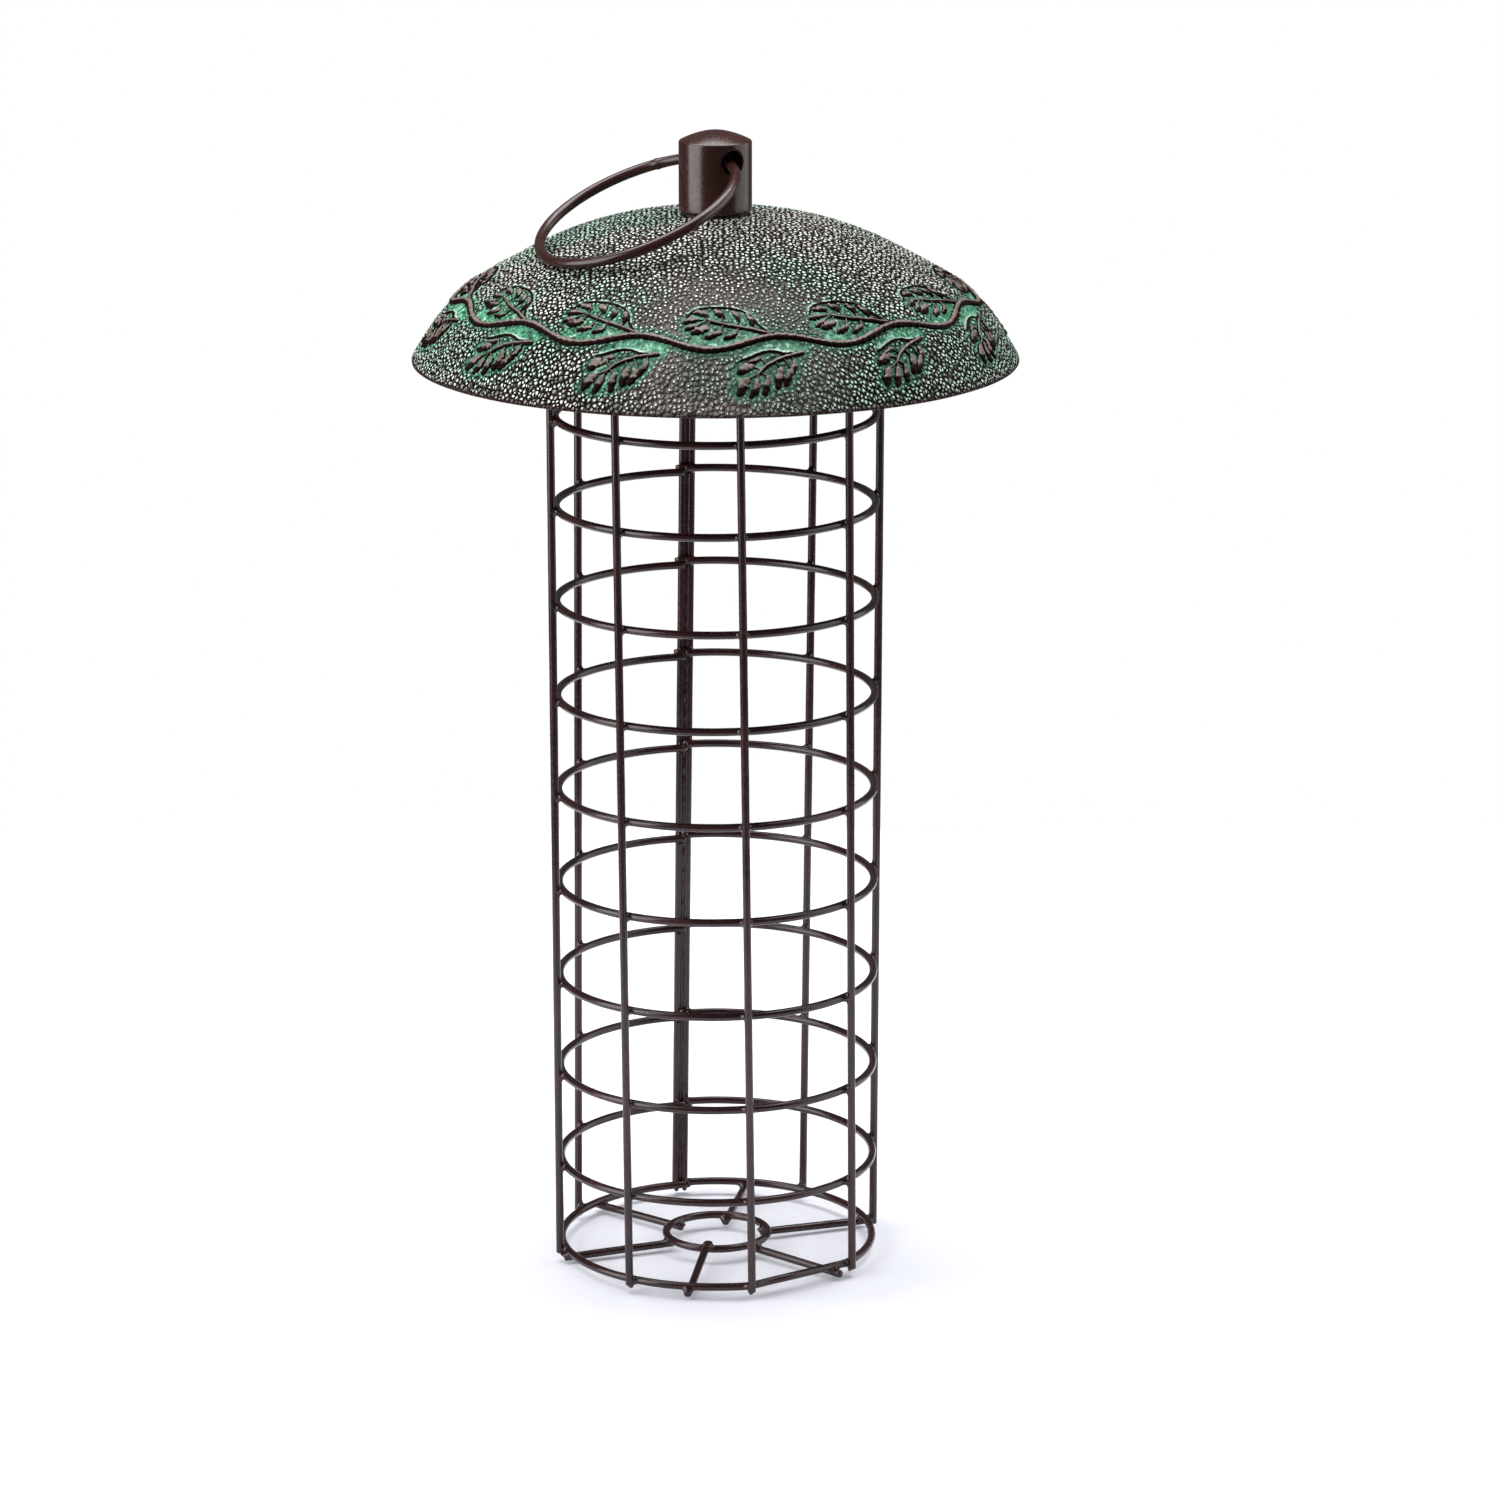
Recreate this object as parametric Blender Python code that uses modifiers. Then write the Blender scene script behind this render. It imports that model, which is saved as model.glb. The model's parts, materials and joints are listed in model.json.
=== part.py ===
"""Hanging bird feeder: a welded wire cage for fat balls under a domed, stamped canopy.

The feeder stands on the underside of its base spokes at z = 0, with the cage's centre line on
the Z axis. The canopy lifts off the cage together with the knob, once the knob has turned the
lock bar in line with the two notches of the catch plate. The hanging ring swings in the knob's
cross hole. Directions around the cage are angles in degrees, measured from the front (-Y)
towards the right (+X). Dimensions are in millimetres until they reach Blender.
"""

import math

import bmesh
import bpy
import numpy as np

MM = 0.001
GAP = 0.3

# Cage mesh
WIRE = 2.5
RING_RADIUS = 50.0
BAY = 30.5
END_BAY = 28.0
TOP_BAY = 28.5
FULL_BAYS = 8
RING_RISE = 1.3
BASE_RING_RISE = 0.8
RING_STEPS = 40
SEAM_ANGLE = 191.5
SEAM_END_GAP = 1.2
WIRE_ANGLES = (10.0, 53.0, 102.0, 145.0, 238.0, 284.0, 326.0)
CAGE_TWIST = 4.2
FLAT_FROM = 12.0
FLAT_TO = 55.0

# Base
SPOKES = 6
SPOKE_ANGLE = 49.6
SPOKE_OUTER = 51.4
CENTRE_RING_RADIUS = 16.4
CENTRE_RING_LIFT = 0.5
SPOKE_INNER = 15.2
RAISED_SPOKE = 5

# Catch plate and lock bar
PLATE_THICKNESS = 1.2
PLATE_OUTER = 51.2
PLATE_INNER = 38.0
NOTCH_RADIUS = 48.3
NOTCH_WIDTH = 13.0
STOP_WIDTH = 2.0
STOP_LENGTH = 5.0
STOP_HEIGHT = 2.6
STOP_RADIUS = 44.0
BAR_THICKNESS = 2.0
BAR_WIDTH = 10.0
BAR_REACH = 47.5
BAR_SPARE = 4.0
SHAFT_SQUARE = 5.0

# Canopy
CANOPY_THICKNESS = 1.0
CANOPY_RADIUS = 94.3
CANOPY_RIM_Z = 291.8
CANOPY_SEAT_Z = 336.4
CANOPY_SEAT_RADIUS = 13.0
CANOPY_SHOULDER = ((24.0, 335.8), (38.0, 332.8), (52.0, 327.5), (66.0, 320.0), (77.5, 312.8), (87.0, 303.0))
CANOPY_STEPS = 56
SHAFT_HOLE = 6.8

# Lid collar
COLLAR_RADIUS = 46.0
COLLAR_THICKNESS = 1.0
COLLAR_FLANGE = 53.0
COLLAR_ROOT = 1.5

# Knob, shaft and washers
KNOB_RADIUS = 11.3
KNOB_DOME = 2.9
KNOB_SIDE = 22.2
KNOB_EDGE = 1.0
KNOB_CROWN = 0.8
KNOB_LIP = 0.4
KNOB_BORE_DEPTH = 11.0
KNOB_ANGLE = 32.0
CROSS_HOLE = 7.4
CROSS_HOLE_Z = 353.8
THREAD = 6.0
THREAD_LENGTH = 10.4
SHOULDER = 9.0
KNOB_WASHER_THICKNESS = 0.5
WASHER_THICKNESS = 1.0
NUT_HEIGHT = 3.2
NUT_ACROSS_CORNERS = 8.1
STUD = 4.0
STUD_END = 1.0
KNOB_WASHER_RADIUS = 10.0
CANOPY_WASHER_RADIUS = 9.0
SPRING_WASHER_RADIUS = 6.0

# Hanging ring
HANGER_WIRE = 3.0
HANGER_RADIUS = 32.0
HANGER_AXIS_Z = 353.0
HANGER_OFFSET = 1.1
HANGER_SLOPE = 24.4

# Heights that follow from the sizes above
SPOKE_Z = WIRE / 2
BASE_RING_Z = SPOKE_Z + WIRE + GAP
TOP_RING_Z = BASE_RING_Z + END_BAY + (FULL_BAYS - 1) * BAY + 2 * TOP_BAY
CAGE_WIRE_RADIUS = RING_RADIUS + WIRE + GAP
CAGE_WIRE_BOTTOM = SPOKE_Z + WIRE / 2 + 2 * GAP
PLATE_Z = TOP_RING_Z + WIRE / 2 + RING_RISE / 2 + GAP
PLATE_TOP_Z = PLATE_Z + PLATE_THICKNESS
BAR_TOP_Z = PLATE_Z - 0.5
BAR_BOTTOM_Z = BAR_TOP_Z - BAR_THICKNESS
KNOB_Z = CANOPY_SEAT_Z + 2 * GAP + KNOB_WASHER_THICKNESS

CUTTERS = "cutters"
ASSEMBLY = "hanging_bird_feeder"


def clear_scene():
    """Remove every object, so that the model starts from nothing."""
    for item in list(bpy.data.objects):
        bpy.data.objects.remove(item, do_unlink=True)


def make_collection(name):
    """Make a collection in the scene and return it."""
    collection = bpy.data.collections.new(name)
    bpy.context.scene.collection.children.link(collection)
    return collection


def paint(name, colour, roughness, metallic):
    """Return a Principled material."""
    material = bpy.data.materials.new(name)
    material.use_nodes = True
    shader = material.node_tree.nodes["Principled BSDF"]
    shader.inputs["Base Color"].default_value = (*colour, 1.0)
    shader.inputs["Roughness"].default_value = roughness
    shader.inputs["Metallic"].default_value = metallic
    material.diffuse_color = (*colour, 1.0)
    return material


def around(radius, angle, height=0.0):
    """Return the point at this radius, angle from the front and height."""
    turn = math.radians(angle)
    return (radius * math.sin(turn), -radius * math.cos(turn), height)


def place(name, data, parent, location=(0.0, 0.0, 0.0), rotation=(0.0, 0.0, 0.0)):
    """Add an object for this data, located in millimetres and turned in degrees."""
    item = bpy.data.objects.new(name, data)
    bpy.data.collections[ASSEMBLY].objects.link(item)
    item.location = [value * MM for value in location]
    item.rotation_euler = [math.radians(value) for value in rotation]
    item.parent = parent
    return item


def axis_empty(name, parent, location=(0.0, 0.0, 0.0), rotation=(0.0, 0.0, 0.0)):
    """Add an empty that carries the pieces turning or sliding on one axis."""
    empty = place(name, None, parent, location, rotation)
    empty.empty_display_size = 0.02
    return empty


def wire_curve(name, points, diameter, material, closed=False):
    """Return curve data for a round wire along these points."""
    curve = bpy.data.curves.new(name, "CURVE")
    curve.dimensions = "3D"
    curve.bevel_depth = diameter / 2 * MM
    curve.bevel_resolution = 2
    curve.use_fill_caps = not closed
    spline = curve.splines.new("POLY")
    spline.points.add(len(points) - 1)
    for control, point in zip(spline.points, points):
        control.co = (point[0] * MM, point[1] * MM, point[2] * MM, 1.0)
    spline.use_cyclic_u = closed
    spline.use_smooth = True
    curve.materials.append(material)
    return curve


def turned_mesh(name, outline, material, closed=True):
    """Return the outline as a mesh of edges at +X, for a Screw modifier to turn about Z."""
    mesh = bpy.data.meshes.new(name)
    points = [(radius * MM, 0.0, height * MM) for radius, height in outline]
    edges = [(index, index + 1) for index in range(len(points) - 1)]
    if closed:
        edges.append((len(points) - 1, 0))
    mesh.from_pydata(points, edges, [])
    mesh.materials.append(material)
    return mesh


def turned(name, outline, material, parent, steps, closed=True, height=0.0):
    """Add a solid of revolution at this height, from an outline of (radius, height) pairs."""
    item = place(name, turned_mesh(name, outline, material, closed), parent, (0.0, 0.0, height))
    screw = item.modifiers.new("turn", "SCREW")
    screw.axis = "Z"
    screw.angle = math.tau
    screw.steps = steps
    screw.render_steps = steps
    screw.use_merge_vertices = True
    screw.merge_threshold = 0.00002
    screw.use_smooth_shade = True
    return item


def block_mesh(name, size, material=None):
    """Return a box centred on its origin, with a size in millimetres."""
    mesh = bpy.data.meshes.new(name)
    work = bmesh.new()
    bmesh.ops.create_cube(work, size=1.0)
    bmesh.ops.scale(work, vec=[value * MM for value in size], verts=work.verts)
    work.to_mesh(mesh)
    work.free()
    if material:
        mesh.materials.append(material)
    return mesh


def round_bar_mesh(name, radius, length, sides, material=None):
    """Return a straight bar along Z with this many sides, centred on its origin."""
    mesh = bpy.data.meshes.new(name)
    work = bmesh.new()
    bmesh.ops.create_cone(
        work, cap_ends=True, segments=sides, radius1=radius * MM, radius2=radius * MM, depth=length * MM
    )
    work.to_mesh(mesh)
    work.free()
    if material:
        mesh.materials.append(material)
    return mesh


def cut(item, mesh, operation="DIFFERENCE", location=(0.0, 0.0, 0.0), rotation=(0.0, 0.0, 0.0)):
    """Combine a hidden tool shape with this object, the tool placed in the object's own frame."""
    tool = bpy.data.objects.new(mesh.name, mesh)
    bpy.data.collections[CUTTERS].objects.link(tool)
    tool.parent = item
    tool.location = [value * MM for value in location]
    tool.rotation_euler = [math.radians(value) for value in rotation]
    tool.hide_render = True
    tool.display_type = "WIRE"
    boolean = item.modifiers.new(mesh.name, "BOOLEAN")
    boolean.operation = operation
    boolean.solver = "EXACT"
    boolean.object = tool


def smooth_outline(points, per_span):
    """Return a smooth curve through points of rising radius, as (radius, height) pairs."""
    radii = np.array([point[0] for point in points])
    heights = np.array([point[1] for point in points])
    slopes = np.gradient(heights, radii)
    slopes[0] = 0.0
    outline = []
    for index in range(len(points) - 1):
        span = radii[index + 1] - radii[index]
        for step in range(per_span):
            t = step / per_span
            start = (1 + 2 * t) * (1 - t) ** 2 * heights[index] + t * (1 - t) ** 2 * span * slopes[index]
            end = t**2 * (3 - 2 * t) * heights[index + 1] + t**2 * (t - 1) * span * slopes[index + 1]
            outline.append((radii[index] + t * span, start + end))
    outline.append((radii[-1], heights[-1]))
    return outline


def offset_inwards(outline, thickness):
    """Return the outline moved by a wall thickness, down and towards the axis."""
    path = np.array(outline)
    along = np.gradient(path, axis=0)
    along /= np.linalg.norm(along, axis=1)[:, None]
    inwards = np.stack([along[:, 1], -along[:, 0]], axis=1)
    return [tuple(point) for point in path + thickness * inwards]


def ring_points(rise, flat=False):
    """Return one turn of a cage ring, from the seam's left wire round to its right wire."""
    points = []
    for step in range(RING_STEPS + 1):
        share = step / RING_STEPS
        angle = SEAM_ANGLE + SEAM_END_GAP / 2 + share * (360.0 - SEAM_END_GAP)
        radius = RING_RADIUS
        if flat:
            radius = flattened_radius(angle - 360.0)
        points.append(around(radius, angle, rise * (share - 0.5)))
    return points


def flattened_radius(angle):
    """Return the base ring's radius, which runs straight between two of the front wires."""
    middle = (FLAT_FROM + FLAT_TO) / 2
    if not FLAT_FROM < angle < FLAT_TO:
        return RING_RADIUS
    half = math.radians(FLAT_TO - middle)
    return RING_RADIUS * math.cos(half) / math.cos(math.radians(angle - middle))


def cage_ring_heights():
    """Return the heights of the rings above the base ring, the lowest first."""
    heights = [BASE_RING_Z + END_BAY + bay * BAY for bay in range(FULL_BAYS)]
    heights.append(heights[-1] + TOP_BAY)
    heights.append(heights[-1] + TOP_BAY)
    return heights


def build_cage_rings(cage, material):
    """Add the base ring and the rings of the mesh, each a turn of wire with ends at the seam."""
    base = wire_curve("base_ring", ring_points(BASE_RING_RISE, flat=True), WIRE, material)
    place("base_ring", base, cage, (0.0, 0.0, BASE_RING_Z))
    shared = wire_curve("cage_ring", ring_points(RING_RISE), WIRE, material)
    for number, height in enumerate(cage_ring_heights(), start=1):
        place(f"cage_ring_{number:02d}", shared, cage, (0.0, 0.0, height))


def build_cage_wires(cage, material):
    """Add the upright wires outside the rings, all leaning the same way round the cage."""
    top = TOP_RING_Z + WIRE / 2
    middle = (top + CAGE_WIRE_BOTTOM) / 2
    half = (top - CAGE_WIRE_BOTTOM) / 2
    half_twist = math.radians(CAGE_TWIST / 2)
    mean_radius = CAGE_WIRE_RADIUS * math.cos(half_twist)
    lean = math.degrees(math.atan2(CAGE_WIRE_RADIUS * math.sin(half_twist), half))
    shared = wire_curve("cage_wire", [(0.0, 0.0, half), (0.0, 0.0, -half)], WIRE, material)
    beside = math.degrees((WIRE + GAP) / 2 / CAGE_WIRE_RADIUS)
    names = [f"cage_wire_{number}" for number in range(1, len(WIRE_ANGLES) + 1)]
    names += ["seam_wire_right", "seam_wire_left"]
    angles = list(WIRE_ANGLES) + [SEAM_ANGLE - beside, SEAM_ANGLE + beside]
    for name, angle in zip(names, angles):
        place(name, shared, cage, around(mean_radius, angle, middle), (0.0, -lean, angle))


def build_base(cage, material):
    """Add the centre ring and the spokes that carry it under the base ring."""
    ring_z = BASE_RING_Z + CENTRE_RING_LIFT
    circle = [around(CENTRE_RING_RADIUS, 360.0 * step / 24) for step in range(24)]
    centre = wire_curve("base_centre_ring", circle, WIRE, material, closed=True)
    place("base_centre_ring", centre, cage, (0.0, 0.0, ring_z))
    for number in range(SPOKES):
        angle = SPOKE_ANGLE + number * 360.0 / SPOKES
        path = [around(SPOKE_OUTER, 0.0, SPOKE_Z), around(SPOKE_INNER, 0.0, SPOKE_Z + CENTRE_RING_LIFT)]
        if number == RAISED_SPOKE:
            path = raised_spoke_path(ring_z)
        spoke = wire_curve(f"base_spoke_{number + 1}", path, WIRE, material)
        place(f"base_spoke_{number + 1}", spoke, cage, rotation=(0.0, 0.0, angle))


def raised_spoke_path(ring_z):
    """Return the path of the one spoke whose inner end lies on top of the centre ring."""
    inner_radius = CENTRE_RING_RADIUS + WIRE / 2
    inner_z = ring_z + WIRE + GAP
    bend = RING_RADIUS - 2 * WIRE
    return [around(SPOKE_OUTER, 0.0, SPOKE_Z), around(bend, 0.0, SPOKE_Z), around(inner_radius, 0.0, inner_z)]


def build_catch_plate(cage, material):
    """Add the flat ring on top of the cage, with a notch for each end of the lock bar."""
    half = PLATE_THICKNESS / 2
    outline = [(PLATE_OUTER, half), (PLATE_OUTER, -half), (PLATE_INNER, -half), (PLATE_INNER, half)]
    plate = turned("catch_plate", outline, material, cage, 64, height=PLATE_Z + half)
    notch = block_mesh("notch", (NOTCH_WIDTH, 2 * NOTCH_RADIUS, 3 * PLATE_THICKNESS))
    cut(plate, notch, rotation=(0.0, 0.0, KNOB_ANGLE))


def build_stops(cage, material):
    """Add the two tabs under the catch plate that stop the lock bar open and locked."""
    reach = math.degrees(math.asin((BAR_WIDTH / 2 + STOP_WIDTH / 2 + 3 * GAP) / STOP_RADIUS))
    shared = block_mesh("bar_stop", (STOP_WIDTH, STOP_LENGTH, STOP_HEIGHT), material)
    centre_z = PLATE_Z - GAP - STOP_HEIGHT / 2
    angles = {"locked_stop": KNOB_ANGLE + 90.0 + reach, "open_stop": KNOB_ANGLE + 180.0 - reach}
    for name, angle in angles.items():
        place(name, shared, cage, around(STOP_RADIUS, angle, centre_z), (0.0, 0.0, angle))


def canopy_outline():
    """Return the outer face of the dome, from the seat under the knob out to the rim."""
    points = [(CANOPY_SEAT_RADIUS, CANOPY_SEAT_Z), *CANOPY_SHOULDER, (CANOPY_RADIUS, CANOPY_RIM_Z)]
    return smooth_outline(points, 3)


def build_canopy(lid, material):
    """Add the stamped dome, open in the middle for the shaft."""
    outer = [(SHAFT_HOLE / 2, CANOPY_SEAT_Z), *canopy_outline()]
    under = canopy_outline()[:-1]
    inner = [(SHAFT_HOLE / 2, CANOPY_SEAT_Z - CANOPY_THICKNESS), *offset_inwards(under, CANOPY_THICKNESS)]
    inner.append((CANOPY_RADIUS - CANOPY_THICKNESS, CANOPY_RIM_Z))
    turned("canopy", outer + inner[::-1], material, lid, CANOPY_STEPS)


def canopy_underside(radius):
    """Return the height of the dome's underside at this radius."""
    under = offset_inwards(canopy_outline(), CANOPY_THICKNESS)
    return float(np.interp(radius, [point[0] for point in under], [point[1] for point in under]))


def build_collar(lid, material):
    """Add the collar under the dome that stands on the catch plate, with a flange that fits the dome."""
    inner = COLLAR_RADIUS - COLLAR_THICKNESS
    bottom = PLATE_TOP_Z + GAP
    high = canopy_underside(COLLAR_RADIUS) - 2 * GAP
    low = canopy_underside(COLLAR_FLANGE) - 2 * GAP
    outline = [
        (inner, canopy_underside(inner) - 2 * GAP),
        (COLLAR_RADIUS, high),
        (COLLAR_FLANGE, low),
        (COLLAR_FLANGE, low - COLLAR_THICKNESS),
        (COLLAR_RADIUS, high - COLLAR_ROOT),
        (COLLAR_RADIUS, bottom),
        (inner, bottom),
    ]
    turned("lid_collar", outline, material, lid, 48)


def washer(name, thickness, outer, inner, bottom, material, parent, steps=28):
    """Add a flat washer with this underside height, above its parent's origin."""
    outline = [(outer, thickness), (outer, 0.0), (inner, 0.0), (inner, thickness)]
    turned(name, outline, material, parent, steps, height=bottom)


def build_knob(knob, material):
    """Add the knob: a short cylinder with a low domed top, a blind bore and a cross hole."""
    edge = KNOB_RADIUS - KNOB_EDGE
    bore = THREAD / 2 + GAP
    outline = [(0.0, KNOB_SIDE + KNOB_DOME)]
    for step in range(1, 5):
        radius = edge * step / 5
        outline.append((radius, KNOB_SIDE + KNOB_DOME * (1.0 - KNOB_CROWN * (radius / edge) ** 2)))
    for step in range(4):
        turn = math.radians(30.0 * step)
        drop = KNOB_EDGE * (1.0 - math.cos(turn))
        outline.append((edge + KNOB_EDGE * math.sin(turn), KNOB_SIDE + KNOB_LIP - drop))
    outline += [(KNOB_RADIUS, KNOB_LIP), (KNOB_RADIUS - KNOB_LIP, 0.0), (bore, 0.0)]
    outline += [(bore, KNOB_BORE_DEPTH), (0.0, KNOB_BORE_DEPTH)]
    item = turned("knob", outline, material, knob, 40, closed=False, height=KNOB_Z)
    hole = round_bar_mesh("cross_hole", CROSS_HOLE / 2, 4 * KNOB_RADIUS, 20)
    cut(item, hole, location=(0.0, 0.0, CROSS_HOLE_Z - KNOB_Z), rotation=(90.0, 0.0, 0.0))


def build_shaft(knob, material):
    """Add the stepped shaft that ties knob and lock bar: thread, shoulder, square and stud."""
    shoulder_top = CANOPY_SEAT_Z - CANOPY_THICKNESS - 3 * GAP - 2 * WASHER_THICKNESS
    shoulder_bottom = BAR_TOP_Z + GAP
    stud_bottom = BAR_BOTTOM_Z - GAP - NUT_HEIGHT - STUD_END
    outline = [
        (0.0, KNOB_Z + THREAD_LENGTH),
        (THREAD / 2, KNOB_Z + THREAD_LENGTH),
        (THREAD / 2, shoulder_top),
        (SHOULDER / 2, shoulder_top),
        (SHOULDER / 2, shoulder_bottom),
        (STUD / 2, shoulder_bottom),
        (STUD / 2, stud_bottom),
        (0.0, stud_bottom),
    ]
    item = turned("lock_shaft", outline, material, knob, 24, closed=False)
    height = BAR_THICKNESS + 2 * GAP
    square = block_mesh("shaft_square", (SHAFT_SQUARE, SHAFT_SQUARE, height))
    cut(item, square, "UNION", (0.0, 0.0, shoulder_bottom + GAP - height / 2))


def build_lock_bar(knob, material):
    """Add the flat bar that turns under the catch plate, with ends rounded about the axis."""
    bar = place(
        "lock_bar",
        block_mesh("lock_bar", (BAR_WIDTH, 2 * BAR_REACH + BAR_SPARE, BAR_THICKNESS), material),
        knob,
        (0.0, 0.0, BAR_BOTTOM_Z + BAR_THICKNESS / 2),
    )
    cut(bar, round_bar_mesh("bar_ends", BAR_REACH, 4 * BAR_THICKNESS, 96), "INTERSECT")
    opening = SHAFT_SQUARE + 2 * GAP
    cut(bar, block_mesh("bar_square", (opening, opening, 4 * BAR_THICKNESS)))


def build_nut(knob, material):
    """Add the nut that holds the lock bar on the shaft."""
    hexagon = round_bar_mesh("lock_nut", NUT_ACROSS_CORNERS / 2, NUT_HEIGHT, 6, material)
    nut = place("lock_nut", hexagon, knob, (0.0, 0.0, BAR_BOTTOM_Z - GAP - NUT_HEIGHT / 2))
    cut(nut, round_bar_mesh("nut_bore", STUD / 2 + GAP, 2 * NUT_HEIGHT, 24))


def build_washers(knob, nylon, steel):
    """Add the washers above and below the canopy, which the knob and shaft clamp between them."""
    bore = THREAD / 2 + GAP
    washer("knob_washer", KNOB_WASHER_THICKNESS, KNOB_WASHER_RADIUS, bore, CANOPY_SEAT_Z + GAP, nylon, knob)
    under = CANOPY_SEAT_Z - CANOPY_THICKNESS - GAP - WASHER_THICKNESS
    washer("canopy_washer", WASHER_THICKNESS, CANOPY_WASHER_RADIUS, bore, under, steel, knob)
    below = under - GAP - WASHER_THICKNESS
    washer("spring_washer", WASHER_THICKNESS, SPRING_WASHER_RADIUS, bore, below, steel, knob)


def build_hanger(hanger, material):
    """Add the hanging ring, which runs through the cross hole and lies to the left on the canopy."""
    slope = math.radians(HANGER_SLOPE)
    reach = HANGER_RADIUS - HANGER_OFFSET
    bpy.ops.mesh.primitive_torus_add(
        major_radius=HANGER_RADIUS * MM,
        minor_radius=HANGER_WIRE / 2 * MM,
        major_segments=48,
        minor_segments=10,
    )
    ring = bpy.context.object
    ring.name = "hanging_ring"
    ring.data.name = "hanging_ring"
    for collection in list(ring.users_collection):
        collection.objects.unlink(ring)
    bpy.data.collections[ASSEMBLY].objects.link(ring)
    ring.data.shade_smooth()
    ring.data.materials.append(material)
    ring.parent = hanger
    ring.location = (-reach * math.cos(slope) * MM, 0.0, -reach * math.sin(slope) * MM)
    ring.rotation_euler = (0.0, -slope, 0.0)


def build():
    """Build the whole feeder."""
    clear_scene()
    make_collection(ASSEMBLY)
    make_collection(CUTTERS)
    brown = paint("brown_wire_paint", (0.062, 0.030, 0.026), 0.42, 0.25)
    knob_brown = paint("brown_knob_paint", (0.095, 0.034, 0.028), 0.36, 0.30)
    patina = paint("green_patina", (0.085, 0.130, 0.095), 0.50, 0.30)
    steel = paint("zinc_plated_steel", (0.55, 0.55, 0.54), 0.35, 1.00)
    nylon = paint("black_nylon", (0.02, 0.02, 0.02), 0.50, 0.0)

    cage = axis_empty("cage_frame", None)
    build_cage_rings(cage, brown)
    build_cage_wires(cage, brown)
    build_base(cage, brown)
    build_catch_plate(cage, brown)
    build_stops(cage, brown)

    lid = axis_empty("lid_axis", cage)
    build_canopy(lid, patina)
    build_collar(lid, brown)

    knob = axis_empty("knob_axis", lid, rotation=(0.0, 0.0, KNOB_ANGLE))
    build_knob(knob, knob_brown)
    build_washers(knob, nylon, steel)
    build_shaft(knob, steel)
    build_lock_bar(knob, steel)
    build_nut(knob, steel)

    hanger = axis_empty("hanger_axis", knob, (0.0, 0.0, HANGER_AXIS_Z))
    build_hanger(hanger, brown)
    bpy.context.view_layer.update()


build()
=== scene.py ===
"""Looks of the hanging bird feeder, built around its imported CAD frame.

Lengths below are in millimetres. Angles are in degrees round the cage, from its front (-Y)
towards its right (+X). A slant is a distance over the canopy from its centre.
"""

import json
import math

import bmesh
import bpy
import numpy as np
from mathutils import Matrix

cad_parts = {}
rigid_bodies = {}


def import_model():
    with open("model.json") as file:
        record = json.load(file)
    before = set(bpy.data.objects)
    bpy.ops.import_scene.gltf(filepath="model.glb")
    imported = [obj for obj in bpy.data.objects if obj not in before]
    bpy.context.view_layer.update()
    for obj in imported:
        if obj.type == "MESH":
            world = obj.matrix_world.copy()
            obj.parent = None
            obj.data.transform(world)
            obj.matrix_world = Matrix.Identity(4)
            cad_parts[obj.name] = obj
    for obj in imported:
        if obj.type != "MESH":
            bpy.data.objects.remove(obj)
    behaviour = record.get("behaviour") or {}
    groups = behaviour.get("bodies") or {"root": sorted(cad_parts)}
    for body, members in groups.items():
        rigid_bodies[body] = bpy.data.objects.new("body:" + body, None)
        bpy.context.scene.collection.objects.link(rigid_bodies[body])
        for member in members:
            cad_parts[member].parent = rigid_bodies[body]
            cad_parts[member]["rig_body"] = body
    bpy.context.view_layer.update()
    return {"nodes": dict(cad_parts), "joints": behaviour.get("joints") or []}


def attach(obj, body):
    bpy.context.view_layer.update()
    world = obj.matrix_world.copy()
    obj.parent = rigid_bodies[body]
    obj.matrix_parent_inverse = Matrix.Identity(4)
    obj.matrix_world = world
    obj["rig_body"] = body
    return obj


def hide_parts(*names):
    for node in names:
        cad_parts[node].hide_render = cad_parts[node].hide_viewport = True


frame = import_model()

MM = 0.001
SEED = 11
UP = np.array([0.0, 0.0, 1.0])

# Wires
WIRE_SIDES = 14
RING_SPLIT = 6
STRAIGHT_STEP = 3.0
PAINT_WAVE = 0.015
CAP_TURNS = (75.0, 50.0, 25.0)
CAP_LENGTH = 0.45
UPRIGHT_SINK = 0.45
SPOKE_SINK = 0.9
RAISED_SPOKE_SINK = 1.2
SEAM_BEAD = 0.86
SEAM_SIDES = 12

# Welds: how close two wires come, in wire diameters, and the weld's own size and unevenness
WELD_GAP = 1.35
WELD_BLEND = (1.1, 1.7)
WELD_REACH = 2.7
WELD_FLATNESS = 1.1
WELD_LUMPS = 0.05
WELD_STEPS = 48

# Canopy
OUTLINE_STEPS = 1600
CANOPY_COLUMNS = 204
MIDDLE_SLANT = 24.0
DENSE_SLANT = 50.0
CROWN_STEP = 0.95
MIDDLE_STEP = 0.78
DENSE_ROWS = 88
LINING_ROWS = 44
EDGE_TURNS = (20.0, 50.0, 90.0, 130.0, 160.0)
SHEET = 1.0
SWAY = 0.16
RELIEF_RADIUS = 75.0
RECESS = 0.25
PEBBLE_SIZE = 1.6
PEBBLE_HEIGHT = 0.26
PEBBLE_WARP = 1.2
# Two places at the front, where the overhead light's sheen falls, with small painted highlights on the
# pebble tops and faint painted shade in their crevices: the places' middles, then the distances over which
# this gives way to the rest of the dome
FAINT_PAINTED_LIGHT_CROWN = (4.0, -80.0, 307.0)
FAINT_PAINTED_LIGHT_RIM = (10.0, -91.0, 272.0)
FAINT_PAINTED_LIGHT_INSIDE = 14.0
FAINT_PAINTED_LIGHT_OUTSIDE = 55.0

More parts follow.
